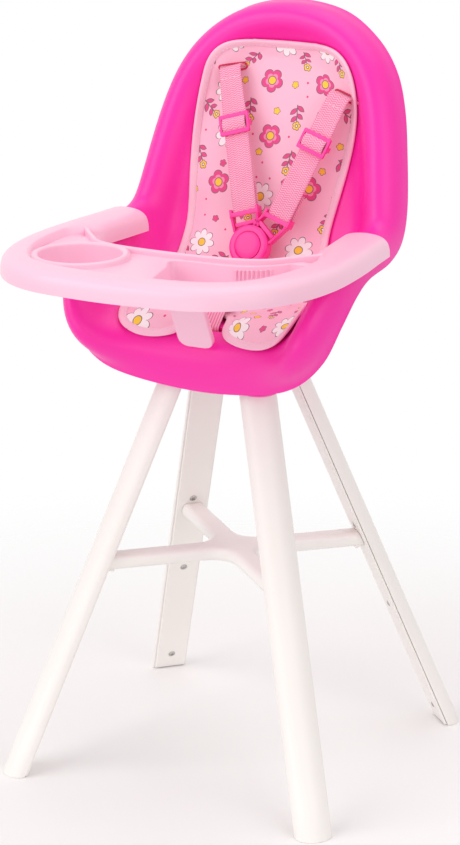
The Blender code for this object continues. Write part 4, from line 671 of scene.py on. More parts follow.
class Value:
    """A number on its way between nodes: each step of arithmetic with it wires a node."""

    def __init__(self, wires, socket):
        self.wires, self.socket = wires, socket

    __add__, __sub__, __rsub__ = wired("ADD"), wired("SUBTRACT"), wired("SUBTRACT", reverse=True)
    __mul__, __pow__, __abs__ = wired("MULTIPLY"), wired("POWER"), wired("ABSOLUTE")
    __gt__, __lt__ = wired("GREATER_THAN"), wired("LESS_THAN")
    sine, cosine, root = wired("SINE"), wired("COSINE"), wired("SQRT")
    angle_to, lowest, folded = wired("ARCTAN2"), wired("MINIMUM"), wired("PINGPONG")
    times_plus = wired("MULTIPLY_ADD")

    def span(self, low, high):
        """The value, between 0 and 1, spread from low to high."""
        return self.times_plus(high - low, low)

    def soft_step(self, width=EDGE_SOFTNESS):
        """From 0 to 1 as the value passes zero."""
        return self.wires.calc("MULTIPLY_ADD", self, 1 / width, 0.5, clamp=True)

    def wave(self, pitch, shift=0.0):
        """A sine of this pitch, between 0 and 1."""
        return self.times_plus(2 * math.pi / pitch, shift).sine().times_plus(0.5, 0.5)


class Wires:
    """Short calls that wire the nodes of a material or a world."""

    def __init__(self, owner):
        owner.use_nodes = True
        self.owner, self.tree = owner, owner.node_tree

    def node(self, kind, *values, **settings):
        """A node with its settings, its first inputs wired or set."""
        node = self.tree.nodes.new(f"ShaderNode{kind}")
        for key, value in settings.items():
            setattr(node, key, value)
        for socket, value in zip(node.inputs, values):
            self.put(socket, value)
        return node

    def put(self, socket, value):
        if isinstance(value, Value):
            value = value.socket
        if isinstance(value, bpy.types.NodeSocket):
            self.tree.links.new(value, socket)
        else:
            socket.default_value = value

    def fill(self, node, **inputs):
        """Wire or set a node's inputs by their names."""
        for name, value in inputs.items():
            if value is not None:
                self.put(node.inputs[name.replace("_", " ")], value)
        return node

    def calc(self, operation, *values, clamp=False):
        node = self.node("Math", *values, operation=operation, use_clamp=clamp)
        return Value(self, node.outputs[0])

    def pair(self, kind, value):
        """The first two parts of a vector or a colour."""
        node = self.node(f"Separate{kind}", value)
        return Value(self, node.outputs[0]), Value(self, node.outputs[1])

    def cloth_axes(self):
        """The cloth map's two coordinates in metres."""
        return self.pair("XYZ", self.node("UVMap", uv_map="cloth").outputs[0])

    def colour(self, share, first, second):
        node = self.fill(self.node("Mix", data_type="RGBA"), Factor=share)
        for index, levels in ((6, first), (7, second)):
            self.put(node.inputs[index], colour_of(levels) if isinstance(levels, tuple) else levels)
        return node.outputs[2]

    def noise(self, scale, detail=2.0):
        place = self.node("TexCoord").outputs["Object"]
        node = self.fill(self.node("TexNoise"), Scale=scale, Detail=detail, Vector=place)
        return Value(self, node.outputs["Fac"])

    def bump(self, height, depth, strength, normal=None):
        node = self.node("Bump")
        self.fill(node, Strength=strength, Distance=depth, Height=height, Normal=normal)
        return node.outputs["Normal"]

    def finish(self, colour, roughness, normal, **constants):
        surface = self.tree.nodes["Principled BSDF"]
        self.fill(surface, Base_Color=colour, Roughness=roughness, Normal=normal, **constants)
        return self.owner


def material_wires(name):
    return Wires(bpy.data.materials.new(name))


def moulded_plastic(name, levels, deep_levels, roughness, grain):
    """Satin moulded plastic: faint clouding in its colour, flow marks and a fine orange peel."""
    wires = material_wires(name)
    colour = wires.colour(wires.noise(9.0, 3.0).span(-0.1, 0.6), levels, deep_levels)
    speck = (wires.noise(420.0, 1.0) - 0.74).soft_step(0.03)
    colour = wires.colour(speck * 0.12, colour, deep_levels)
    rough = wires.noise(14.0, 5.0).span(-0.05, 0.05) + roughness + wires.noise(260.0).span(-0.03, 0.03)
    peel = wires.bump(wires.noise(750.0), 0.00006, grain)
    normal = wires.bump(wires.noise(55.0), 0.0003, grain, peel)
    return wires.finish(colour, rough, normal, Coat_Weight=0.05, Coat_Roughness=0.2)


def steel_finish():
    """Zinc-plated steel with turned marks."""
    wires = material_wires("screw_steel")
    marks = wires.noise(2600.0, 3.0)
    normal = wires.bump(marks, 0.00003, 0.5)
    return wires.finish(colour_of(STEEL_LEVELS), marks.span(0.2, 0.42), normal, Metallic=1.0)


def thread_finish(name, levels):
    """Twisted sewing thread."""
    wires = material_wires(name)
    twist = wires.noise(3200.0, 1.0)
    colour = wires.colour(twist.span(0.0, 0.35), levels, tuple(int(level * 0.86) for level in levels))
    return wires.finish(colour, 0.6, wires.bump(twist, 0.0001, 0.5), Sheen_Weight=0.3)


def webbing_finish(name, upright):
    """Woven tape: herringbone on the shoulder straps, upright ribs on the crotch strap, and painted shade in
    the gaps between the ribs.
    """
    wires = material_wires(name)
    across, along = wires.cloth_axes()
    column = 0.0027
    if upright:
        rib = across.wave(0.0024)
        height = rib * 0.8 + along.wave(0.0011) * 0.2
        gap_shade = (1.0 - rib) ** 2.0
    else:
        # The twill turns at each column, which makes small chevrons
        ridge = across.folded(column).times_plus(0.62, along).wave(0.0019)
        height = ridge * across.wave(column, math.pi / 2).span(0.75, 1.0)
        gap_shade = (1.0 - height) ** 2.2
    fuzz = wires.noise(1500.0)
    pale = wires.colour(wires.noise(60.0).span(0.0, 0.3), WEB_LEVELS, WEB_CLOUD_AND_GAP_SHADE_LEVELS)
    # Painted shade: the gaps between the weave's ribs are darkened toward the deep pink
    colour = wires.colour(gap_shade * fuzz.span(0.7, 1.1), pale, WEB_CLOUD_AND_GAP_SHADE_LEVELS)
    normal = wires.bump(fuzz.times_plus(0.25, height), 0.0004, 0.8)
    return wires.finish(colour, fuzz.span(0.62, 0.8), normal, Sheen_Weight=0.25, Sheen_Roughness=0.4)


def tape_finish():
    """Bias binding: a close diagonal twill with a soft sheen."""
    wires = material_wires("binding_tape")
    across, along = wires.cloth_axes()
    twill = (across + along).wave(0.0007)
    soft = wires.noise(70.0, 3.0)
    colour = wires.colour(soft.span(0.0, 0.4), BINDING_LEVELS, PAD_LEVELS)
    normal = wires.bump(soft.times_plus(2.0, twill), 0.00012, 0.5)
    return wires.finish(colour, soft.span(0.55, 0.7), normal, Sheen_Weight=0.3, Sheen_Roughness=0.35)


def scattered(wires, across, along, pitch, shift, jitter):
    """Places of a scattered motif: offsets from the nearest one, a turn and a random share."""
    place = wires.node("CombineXYZ", across + shift[0], along + shift[1]).outputs[0]
    cells = wires.node("TexVoronoi", voronoi_dimensions="2D", feature="F1")
    wires.fill(cells, Vector=place, Scale=1 / pitch, Randomness=jitter)
    away = wires.node("VectorMath", place, cells.outputs["Position"], operation="SUBTRACT")
    return *wires.pair("XYZ", away.outputs[0]), *wires.pair("Color", cells.outputs["Color"])


def rounded(x, y, turn=None):
    """Distance from the motif's middle and the angle round it."""
    angle = y.angle_to(x)
    return (x * x + y * y).root(), angle if turn is None else turn.times_plus(2 * math.pi, angle)


def flower(radius, angle, size, petals, depth):
    """How far inside the flower's outline a point lies."""
    lobe = abs((angle * (petals / 2)).cosine()) ** 0.6
    return lobe.times_plus(size * depth, size * (1 - depth)) - radius


def leaf(x, y, start, degrees, length, width):
    """How far inside a leaf a point lies: it grows from its start on the stem at an angle."""
    c, s = math.cos(math.radians(degrees)), math.sin(math.radians(degrees))
    rise = y - start
    ahead = x.times_plus(c / length, rise * (s / length))
    aside = x.times_plus(-s, rise * c)
    return (ahead * (1.0 - ahead)).times_plus(4 * width, abs(aside) * -1.0)


def painted(wires, colour, inside, fill, keep=1.0, line=LINE):
    """Fill a shape and draw its thin grey outline."""
    colour = wires.colour(inside.soft_step() * keep, colour, fill)
    return wires.colour((line - abs(inside)).soft_step() * keep, colour, OUTLINE_LEVELS)


def print_finish():
    """Printed plain-weave cloth over soft filling."""
    wires = material_wires("printed_cloth")
    across, along = wires.cloth_axes()
    colour = wires.colour(wires.noise(11.0, 3.0).span(0.0, 0.35), PAD_LEVELS, PAD_DEEP_LEVELS)

    # Small dots and blossoms, each drawn whole or not at all, by how near it lies to a large motif
    large = scattered(wires, across, along, PRINT_PITCH, LARGE_SHIFT, LARGE_JITTER)
    sprigs = scattered(wires, across, along, PRINT_PITCH, SPRIG_SHIFT, LARGE_JITTER)
    small = scattered(wires, across, along, SMALL_PITCH, SMALL_SHIFT, SMALL_JITTER)
    small_radius, small_angle = rounded(*small[:3])
    clear = 1.0
    for shift, reach in ((LARGE_SHIFT, LARGE_CLEARANCE), (SPRIG_SHIFT, SPRIG_CLEARANCE)):
        away = scattered(wires, across - small[0], along - small[1], PRINT_PITCH, shift, LARGE_JITTER)
        clear = (rounded(*away[:2])[0] - reach > 0.0) * clear
    shade = wires.colour(small[2] > 0.5, YELLOW_LEVELS, DEEP_PINK_LEVELS)
    blossom = flower(small_radius, small_angle, *BLOSSOM)
    colour = painted(wires, colour, blossom, shade, (small[3] > BLOSSOMS_ABOVE) * clear, THIN_LINE)
    dot = (DOT_RADIUS - small_radius).soft_step() * ((small[3] < DOTS_BELOW) * clear)
    colour = wires.colour(dot, colour, DEEP_PINK_LEVELS)

    # Sprigs with a leaning stem, four leaves and a bud
    lean = sprigs[2].times_plus(STEM_TURN, -STEM_TURN / 2)
    c, s = lean.cosine(), lean.sine()
    x = sprigs[0] * c - sprigs[1] * s
    y = sprigs[0] * s + sprigs[1] * c
    stem = (STEM_HALF_WIDTH - abs(x)).lowest(STEM_HALF_LENGTH - abs(y))
    colour = wires.colour(stem.soft_step(), colour, OUTLINE_LEVELS)
    for start, degrees, length in LEAVES:
        colour = painted(wires, colour, leaf(x, y, start, degrees, length, LEAF_WIDTH), DEEP_PINK_LEVELS)
    bud_radius, bud_angle = rounded(x, y - BUD_RISE)
    colour = painted(wires, colour, flower(bud_radius, bud_angle, *BUD), YELLOW_LEVELS)
    colour = painted(wires, colour, BUD_EYE - bud_radius, PETAL_LEVELS)

    # Large daisies in white, and blossoms in deep pink
    radius, angle = rounded(*large[:3])
    is_daisy = large[3] > DAISIES_ABOVE
    is_pink = 1.0 - is_daisy
    colour = painted(wires, colour, flower(radius, angle, *DAISY), PETAL_LEVELS, is_daisy)
    colour = painted(wires, colour, flower(radius, angle, *PINK_BLOSSOM), DEEP_PINK_LEVELS, is_pink)
    blush = flower(radius, angle, *BLUSH).soft_step() * is_pink
    colour = wires.colour(blush, colour, BLUSH_LEVELS)
    colour = painted(wires, colour, LARGE_EYE - radius, YELLOW_LEVELS)

    weave = across.wave(THREAD_PITCH) + along.wave(THREAD_PITCH)
    fuzz = wires.noise(900.0)
    fine = wires.bump(fuzz.times_plus(0.6, weave), 0.00008, 0.45)
    normal = wires.bump(wires.noise(38.0, 3.0), 0.0016, 0.4, fine)
    return wires.finish(colour, fuzz.span(0.6, 0.78), normal, Sheen_Weight=0.2, Sheen_Roughness=0.45)


# Each finish with the name of a slot
MAGENTA, PALE_PINK, WHITE, HARDWARE = (
    (moulded_plastic(f"{name}_moulding", *look), f"{name}_plastic")
    for name, *look in (
        ("magenta", MAGENTA_LEVELS, (254, 14, 162), 0.40, 0.3),
        ("pale_pink", PALE_PINK_LEVELS, (253, 192, 218), 0.34, 0.3),
        ("white", WHITE_LEVELS, (240, 233, 226), 0.42, 0.4),
        ("harness", HARDWARE_LEVELS, (250, 36, 150), 0.36, 0.3),
    )
)
STEEL = steel_finish(), "steel"
PRINT = print_finish(), "pad_fabric"
TAPE = tape_finish(), "pad_fabric"
WEBBING = webbing_finish("strap_webbing", False), "webbing"
RIBBED_WEBBING = webbing_finish("ribbed_webbing", True), "webbing"
THREAD = thread_finish("stitch_thread", THREAD_LEVELS), "pad_fabric"
SLOT_THREAD = thread_finish("slot_thread", SLOT_THREAD_LEVELS), "pad_fabric"


# Seat shell


def back_place(up, top=CROWN_Z):
    """A place in the middle plane on the back's edge plane, at a share of a height above the seat."""
    z = SEAT_Z + up * (top - SEAT_Z)
    return (0, BACK_Y + BACK_SLOPE * (z - SEAT_Z), z)


def seat_place(forward, up):
    """A place in the middle plane, at shares of the seat's depth and of the flange's rise."""
    return (0, BACK_Y + forward * (FRONT_Y - BACK_Y), SEAT_Z + up * FLANGE_RISE)


def tilted(degrees):
    """Unit normal in the middle plane: level and forward at 0 degrees, upright at 90."""
    angle = math.radians(degrees)
    return np.array((0, -math.cos(angle), math.sin(angle)))


def shell_net():
    """Half of the shell's inner surface: stations round the rim, each from free edge to middle."""
    rim = [(across * BACK_HALF_WIDTH, *back_place(up)[1:]) for across, up in BACK_RIM_SHARES]
    for across, forward, up in FRONT_RIM_SHARES:
        z = APRON_Z + up * (ARM_EDGE_Z - APRON_Z)
        rim.append((across * ARM_HALF_WIDTH, seat_place(forward, 0)[1], z))
    rim = np.array(rim)
    spine = [back_place(up) for up in BACK_SPINE_SHARES]
    spine = np.array(spine + [seat_place(forward, up) for forward, up in SEAT_SPINE_SHARES])
    around = np.concatenate([(rim[1] * FLIP)[None], rim, (rim[-2] * FLIP)[None]])
    front = [mix(BACK_SECTION, ARM_SECTION, 0.5), ARM_SECTION, ARM_SECTION]
    front += [mix(ARM_SECTION, CORNER_SECTION, 0.5), CORNER_SECTION, CORNER_SECTION]
    front += [VALLEY_SECTION, APRON_SECTION, APRON_SECTION]
    back = len(BACK_RIM_SHARES)
    pitches, pans = ([BACK_LEAN] * back + list(table) for table in (RIM_PITCH, PAN_PITCH))
    rows = []
    for index, section in enumerate([BACK_SECTION] * back + front):
        normal = tilted(pitches[index])
        inward = unit(np.cross(around[index + 2] - around[index], normal))
        row = [rim[index] + inward * w * FLANGE_WIDTH + normal * h * FLANGE_RISE for w, h in section]
        reach = row[-1] - spine[index]
        level = tilted(pans[index])
        drop = (FLOOR_SHARE - FLOOR_LEVEL_SHARE) * np.dot(reach, level)
        rows.append(row + [spine[index] + reach * FLOOR_SHARE - level * drop, spine[index]])
    return np.array(rows)


def relaxed(grid, rounds):
    """The grid with its inner points drawn toward their neighbours, its middle line kept in its plane."""
    for _ in range(rounds):
        wide = np.concatenate([grid[1:2] * FLIP, grid, grid[-2:-1] * FLIP])
        beside = (wide[:-2] + wide[2:]) / 2
        beside[:, 1:-1] = (beside[:, 1:-1] + (grid[:, :-2] + grid[:, 2:]) / 2) / 2
        beside[:, 0] = grid[:, 0]
        beside[:, -1] = grid[:, -1]
        grid = grid + (beside - grid) * RELAX_SHARE
    return grid


def shell_surface(steps):
    """The net refined both ways into a smooth half surface."""
    net = shell_net()
    across = np.swapaxes(refine(net, steps, net[1] * FLIP, net[-2] * FLIP), 0, 1)
    fine = refine(across, steps, 2 * across[0] - across[1], across[-2] * FLIP)
    return relaxed(np.swapaxes(fine, 0, 1), steps**2)


SHELL_HALF = shell_surface(SHELL_STEPS)


def shell_tree():
    """The shell's whole inner surface, for laying the pad on it."""
    rows, columns = SHELL_HALF.shape[:2]
    points = np.concatenate([SHELL_HALF.reshape(-1, 3), (SHELL_HALF * FLIP).reshape(-1, 3)])
    faces = grid_faces(rows, columns) + grid_faces(rows, columns, rows * columns)
    return BVHTree.FromPolygons([Vector(point) for point in points], faces)


def thick_sheet(name, surface, toward, even=True):
    """A mirrored wall behind a half grid that faces along a direction."""
    piece = new_piece(name, surface.reshape(-1, 3), grid_faces(*surface.shape[:2]))
    cleaned(piece, GAP / 30)
    total = sum((face.normal * face.area for face in piece.data.polygons), Vector())
    if total.dot(Vector(toward)) < 0:
        piece.data.flip_normals()
    mirror = piece.modifiers.new("mirror", "MIRROR")
    mirror.merge_threshold = GAP / 10
    wall = piece.modifiers.new("wall", "SOLIDIFY")
    wall.thickness = WALL
    wall.offset = -1
    wall.use_even_offset = even
    return settled(piece)


def axes_along(low, high, origin):
    """Axes with X across, Y from one point toward the other, and Z off them toward the front."""
    across = Vector((1, 0, 0))
    along = (high - low).normalized()
    matrix = Matrix((across, along, across.cross(along))).transposed().to_4x4()
    matrix.translation = origin
    return matrix


def strap_frame(foot, top):
    """Axes of a strap at its foot, with Y along it, and its length."""
    foot, top = Vector((*foot, 0)), Vector((*top, 0))
    turn = math.atan2(foot.x - top.x, top.y - foot.y)
    return HARNESS @ Matrix.Translation(foot) @ Matrix.Rotation(turn, 4, "Z"), (top - foot).length


# The harness plane at the buckle, each strap's foot, and the slot in the front of the pan
STRAP_TOP_Y = BACK_Y + BACK_SLOPE * (STRAP_TOP_Z - SEAT_Z) - STRAP_TOP_STAND
BUCKLE_PLACE = Vector((0, BUCKLE_Y, BUCKLE_Z))
HARNESS = axes_along(BUCKLE_PLACE, Vector((0, STRAP_TOP_Y, STRAP_TOP_Z)), BUCKLE_PLACE)
STRAPS = {name: strap_frame(foot, top) for name, (foot, top, _) in STRAP_LINES.items()}
PAN_LOW, PAN_HIGH = (Vector(point) for point in shell_surface(2)[-1][list(CROTCH_SLOT_ROWS)])
CROTCH_SLOT = axes_along(PAN_LOW, PAN_HIGH, (PAN_LOW + PAN_HIGH) / 2)


def seat_shell():
    shell = thick_sheet("shell_moulding", SHELL_HALF, (0, -1, 1), even=False)
    half, rise = SLOT_LENGTH / 2, SLOT_HEIGHT / 2
    tops = [matrix @ Matrix.Translation((0, length, 0)) for matrix, length in STRAPS.values()]
    places = [(top, STRAP_TAIL * 2) for top in tops] + [(CROTCH_SLOT, OVERRUN)]
    for index, (matrix, depth) in enumerate(places):
        tool = box_solid(f"slot_{index}", (-half, -rise, -depth), (half, rise, depth), matrix)
        combined(shell, "DIFFERENCE", tool)
    settled(rounded_edges(shell, RIM_ROUND, 55, 3))
    fitted(shaded(shell, 50), "chair", MAGENTA, "seat_shell")


# Legs


def leg_matrix(side_x, side_y):
    turn = math.atan2(side_y, side_x)
    return Matrix.Translation((side_x * FOOT_X, side_y * FOOT_Y, 0)) @ Matrix.Rotation(turn, 4, "Z")


def leg_outline():
    """Section of a leg's channel: depth outward from its axis, and width."""
    rim = LEG_DEPTH / 2 - LEG_CHANNEL_DEPTH
    half = [(rim + depth * LEG_CHANNEL_DEPTH, width * LEG_WIDTH) for depth, width in LEG_SECTION_SHARES]
    mirror = (half[-2][0], -half[-2][1])
    curve = refine(np.array(half[1:]), 4, np.array(half[0]), np.array(mirror))
    upper = [half[0], *(tuple(point) for point in curve)]
    return upper + [(depth, -width) for depth, width in reversed(upper[:-1])]


def leg_ring(outline, z):
    """The section laid level at a height on the leaning axis."""
    shift = math.tan(LEG_LEAN) * z
    return [(depth / math.cos(LEG_LEAN) - shift, width, z) for depth, width in outline]


def legs():
    outline = leg_outline()
    rings = [leg_ring(inset(outline, LEG_EDGE), 0)]
    rings += [leg_ring(inset(outline, LEG_EDGE_STEP), LEG_EDGE_STEP), leg_ring(outline, LEG_EDGE)]
    rings += [leg_ring(outline, LEG_TOP_Z * step / LEG_RINGS) for step in range(1, LEG_RINGS + 1)]
    for name, side_x, side_y in LEG_SIDES:
        leg = loft(f"leg_channel_{name}", rings, leg_matrix(side_x, side_y))
        fitted(shaded(leg, 30), "chair", WHITE, f"leg_{name}")


def screw_mesh():
    """A domed cross-head screw, pointing down, with its head's underside at zero."""
    radius, height = SCREW_HEAD_RADIUS, SCREW_HEAD_HEIGHT
    rim = height * SCREW_RIM_SHARE
    profile = [(0, height)] + arc((0, rim), (radius, height - rim), 90, 0, 6)[1:]
    profile += [(radius, 0), (SCREW_SHANK_RADIUS, 0), (SCREW_SHANK_RADIUS, -SCREW_SHANK_LENGTH)]
    profile += [(0, -SCREW_SHANK_LENGTH - SCREW_SHANK_RADIUS)]
    screw = turned("screw", profile, SCREW_SIDES)
    floor = height - SCREW_SLOT_DEPTH
    for x, y in ((SCREW_SLOT_REACH, SCREW_SLOT_WIDTH / 2), (SCREW_SLOT_WIDTH / 2, SCREW_SLOT_REACH)):
        combined(screw, "DIFFERENCE", box_solid("slot", (-x, -y, floor), (x, y, height * 2)))
    mesh = shaded(screw, 35).data
    bpy.data.objects.remove(screw, do_unlink=True)
    return mesh


def screws():
    mesh = screw_mesh()
    seat = -LEG_DEPTH / 2 + COVER_THICKNESS / 2 - GAP
    over = Matrix.Rotation(math.pi, 4, "X")
    places = {}
    for name, side_x, side_y in LEG_SIDES:
        for index, z in enumerate(LEG_SCREW_Z):
            bore = Matrix.Translation((-math.tan(LEG_LEAN) * z, 0, z))
            bore = bore @ Matrix.Rotation(math.pi / 2 - LEG_LEAN, 4, "Y") @ Matrix.Translation((0, 0, seat))
            turn = Matrix.Rotation(0.7 * index + 0.4 * side_x, 4, "Z")
            places[f"leg_screw_{name}_{index + 1}"] = leg_matrix(side_x, side_y) @ bore @ over @ turn
    for index, (x, y) in enumerate(arc((0, 0), HUB_BOSS_CIRCLE, 45, 315, 3)):
        places[f"hub_screw_{index + 1}"] = Matrix.Translation((x, y, HUB_TOP_Z - HUB_DECK - GAP)) @ over
    for node, matrix in places.items():
        fitted(linked(f"cross_head_{node}", mesh.copy(), matrix), "chair", STEEL, node)


# Tray


def rail_places(shares):
    return [(x * RAIL_HALF_X, RAIL_FRONT_Y + y * RAIL_LENGTH) for x, y in shares]


RAIL_PLACES = rail_places(RAIL_PATH_SHARES)
LIP_PLACES = [(x * LIP_HALF_X, LIP_Y + y * LIP_REACH) for x, y in LIP_PATH_SHARES]
BASIN_OUTLINE = smooth_outline(rail_places(BASIN_SHARES), 5)


def finer_shares(shares, steps):
    places = np.linspace(0, len(shares) - 1, (len(shares) - 1) * steps + 1)
    return np.interp(places, range(len(shares)), shares)


def deck_point(station):
    """Where the shelf ends inside the rear lip, opposite a station of the rail."""
    path = smooth_path(LIP_PLACES, 4)
    reach = np.interp(station, range(len(DECK_REACH_SHARES)), DECK_REACH_SHARES) * (len(path) - 1)
    x, y = between(reach, range(len(path)), path)
    return np.array((x, y + DECK_TUCK_SHARE * LIP_THICKNESS, SHELF_Z))


def rail_surface(steps, section_steps):
    """The tray's crest with its outer side and its deck or inner side, front centre to rear end."""
    points = mirrored_path(RAIL_PLACES, steps)
    along = np.gradient(points, axis=0)
    along[0] = (1, 0)
    outward = -leftward(unit(along))
    widths = finer_shares(RAIL_WIDTH_SHARES, steps)
    blends = finer_shares(RAIL_BLEND_SHARES, steps)
    rows = []
    for index, (point, blend) in enumerate(zip(points, blends)):
        section = [(across * widths[index], up) for across, up in RAIL_OUTER_SHARES]
        row = []
        for across, up in section + mix(RAIL_DECK_SHARES, RAIL_ARM_SHARES, blend):
            spot = point + outward[index] * across * RAIL_HALF_WIDTH
            row.append((*spot, TRAY_CREST_Z + up * RAIL_HEIGHT))
        row = np.array(row)
        if blend < 1:
            shelf = deck_point(index / steps)
            row[-1] = shelf + (row[-1] - shelf) * blend
        fine = smooth_path(row, section_steps)
        if blend < 1:
            last = np.linspace(row[-2], row[-1], section_steps + 1)
            fine[-section_steps - 1 :] += (last - fine[-section_steps - 1 :]) * (1 - blend)
        rows.append(fine)
    return np.array(rows)


def tray_lip():
    """The rear lip: an upright strip whose top is a rounded bead."""
    half = mirrored_path(LIP_PLACES, 4)
    path = np.concatenate([half[:0:-1] * (-1, 1), half])
    side = leftward(unit(np.gradient(path, axis=0)))
    bead = arc((0.5, SHELF_Z + LIP_HEIGHT - LIP_ROUND), (0.5, LIP_ROUND), 180, 0, 8)
    section = [(0, SKIRT_Z + GAP)] + bead + [(1, SKIRT_Z + GAP)]
    rings = []
    for point, aside in zip(path, side * LIP_THICKNESS):
        rings.append([(*(point + aside * share), z) for share, z in section])
    return loft("tray_lip", rings)


def basin_ring(distance, z):
    return at_height(inset(BASIN_OUTLINE, distance), z)


def basin_solids():
    """The basin with its wall, and the hollow that is cut out of it."""
    floor, bend = SHELF_Z - BASIN_DEPTH, BASIN_FLOOR_RADIUS
    solid, hollow = [basin_ring(-WALL, SHELF_Z - WALL / 2)], []
    cut = [basin_ring(-BASIN_BRIM, SHELF_Z + OVERRUN), basin_ring(-BASIN_BRIM, SHELF_Z + GAP)]
    for cos, sin in arc((0, 0), 1, 0, 90, 4):
        cut.append(basin_ring(-BASIN_EDGE * (1 - sin), SHELF_Z - BASIN_EDGE * (1 - cos)))
    for cos, sin in arc((0, 0), 1, 0, 90, 6):
        rise = floor + bend * (1 - sin)
        tuck = BASIN_DRAFT + bend * (1 - cos)
        hollow.append(basin_ring(tuck, rise))
        solid.append(basin_ring(tuck - WALL * cos - WALL * 0.1, rise - WALL * sin))
    return loft("basin_outer", solid[::-1]), loft("basin_hollow", (cut + hollow)[::-1])


def cup_solids():
    """The raised ring with the bowl under it, and the hollow that both share."""
    inner = CUP_RADIUS - CUP_RING_WIDTH
    floor, under = SHELF_Z - CUP_DEPTH, SHELF_Z - WALL / 2
    top = SHELF_Z + CUP_RING_HEIGHT
    bend = CUP_FLOOR_RADIUS
    foot = inner - CUP_DRAFT
    crown = CUP_RING_WIDTH / 2
    rise = crown * CUP_CROWN_SHARE
    ring = arc((inner + crown, top - rise), (crown, rise), 180, 0, 8)
    outer = [(0, ring[0][1])] + ring + [(CUP_RADIUS + CUP_FLARE, SHELF_Z + CUP_FLARE_HEIGHT)]
    outer += [(CUP_RADIUS + CUP_FOOT_FLARE, under), (inner + WALL, under), (foot + WALL, floor + bend)]
    outer += [(foot + WALL - bend / 3, floor - WALL / 2)]
    outer += [(foot - bend, floor - WALL), (0, floor - WALL)]
    hollow = [(0, top + OVERRUN), (inner, top + OVERRUN), (inner, SHELF_Z)]
    hollow += arc((foot - bend, floor + bend), bend, 0, -90, 6) + [(0, floor)]
    place = Matrix.Translation((CUP_X, CUP_Y, 0))
    return turned("cup_outer", outer, CUP_SIDES, place), turned("cup_hollow", hollow, CUP_SIDES, place)


def basin_ribs():
    """Upright ribs on the basin's rear wall, each with a rounded face."""
    rear = BASIN_OUTLINE[BASIN_OUTLINE[:, 1] > CUP_Y]
    rear = rear[np.argsort(rear[:, 0])]
    low = SHELF_Z - BASIN_DEPTH + BASIN_FLOOR_RADIUS * 1.4
    half = RIB_WIDTH / 2
    ribs = []
    for index in range(RIB_COUNT):
        x = RIB_START_X + index * RIB_PITCH
        wall = float(np.interp(x, rear[:, 0], rear[:, 1])) - BASIN_DRAFT
        ring = arc((x, wall - RIB_STAND * 0.3), (half, RIB_STAND * 0.7), 180, 360, 6)
        ring += [(x + half, wall + WALL), (x - half, wall + WALL)]
        ribs.append(prism(f"rib_{index}", ring, low, SHELF_Z - RIB_MARGIN))
    return ribs


def tray():
    rail = thick_sheet("tray_moulding", rail_surface(6, 4), (0, 0, 1))
    basin, basin_hollow = basin_solids()
    cup, cup_hollow = cup_solids()
    combined(rail, "UNION", tray_lip(), basin, cup)
    combined(rail, "DIFFERENCE", basin_hollow, cup_hollow)
    combined(rail, "UNION", *basin_ribs())
    fitted(shaded(rail, 42), "tray", PALE_PINK, "tray")


# Seat pad


def pad_rows():
    """Base point, lean, outer edge, notch edge and bow of each row, from the top down to the lobes."""
    rows = [(back_place(up, PAD_TOP_Z), BACK_LEAN, wide, 0) for up, wide in PAD_BACK_SHARES]
    rows += [(seat_place(forward, up), degrees, wide, 0) for forward, up, degrees, wide in PAD_SEAT_SHARES]
    rows += [(seat_place(forward, up), *rest) for forward, up, *rest in PAD_LOBE_SHARES]
    bows = [*PAD_TOP_BOW, *[0] * (len(rows) - len(PAD_TOP_BOW) - len(PAD_LOBE_BOW)), *PAD_LOBE_BOW]
    for (base, degrees, wide, notch), bow in zip(rows, bows):
        yield Vector(base), degrees, wide * PAD_HALF_WIDTH, notch * PAD_NOTCH_HALF_WIDTH, bow


def pad_half(tree, side_shares, lobe_shares):
    """One side of the pad's underside, laid on the shell row by row and refined."""
    coarse = []
    rows = list(pad_rows())
    front_rows = len(rows) - 1 - PAD_BACK_ROWS
    for index, (base, degrees, wide, notch, bow) in enumerate(rows):
        past = index - PAD_BACK_ROWS
        if past < 0:
            wide *= float(np.interp(base.z, PAD_SIDE_Z, side_shares))
        else:
            wide *= float(np.interp(past / front_rows, (0, 0.7), lobe_shares))
        out = Vector(tilted(degrees))
        lift = PAD_LIFT + min(max(past / 3, 0), 1) * PAD_FRONT_LIFT
        row = []
        for share in PAD_ACROSS_SHARES:
            x = notch + share * (wide - notch)
            # The top edge sags toward its corners, and a lobe's edge draws back at both of its ends
            down = Vector((0, -BACK_SLOPE, -1)) * share**2
            if index >= 4:
                down = Vector((0, 1, 0)) * (2 * share - 1) ** 2
            start = base + Vector((x, 0, 0)) + down * bow + out * FLANGE_RISE * 3
            spot, normal, _, _ = tree.ray_cast(start, -out)
            spot += normal * (lift if normal.dot(out) >= 0 else -lift)
            row.append(np.array(spot if x else (0, spot.y, spot.z)))
        coarse.append(row)
    rows = np.array(coarse)
    fine = refine(rows, PAD_STEPS, 2 * rows[0] - rows[1], 2 * rows[-1] - rows[-2])
    fine[:PAD_JOINED_ROWS, 0, 0] = 0
    across = np.swapaxes(fine, 0, 1)
    first = across[1] * FLIP
    first[PAD_JOINED_ROWS:] = (2 * across[0] - across[1])[PAD_JOINED_ROWS:]
    return np.swapaxes(refine(across, PAD_STEPS, first, 2 * across[-1] - across[-2]), 0, 1)


def laid_flat(points):
    """Coordinates in metres of a half sheet's points, across from its middle and along it."""
    rows, columns = points.shape[:2]
    across = np.linalg.norm(np.diff(points, axis=1), axis=2)
    u = np.concatenate([np.zeros((rows, 1)), np.cumsum(across, axis=1)], axis=1) + points[:, :1, 0]
    along = np.linalg.norm(np.diff(points, axis=0), axis=2)
    v = np.concatenate([np.zeros((1, columns)), np.cumsum(along, axis=0)])
    anchor = 6 * PAD_STEPS
    return u, v - v[anchor] + v[anchor, columns // 3]


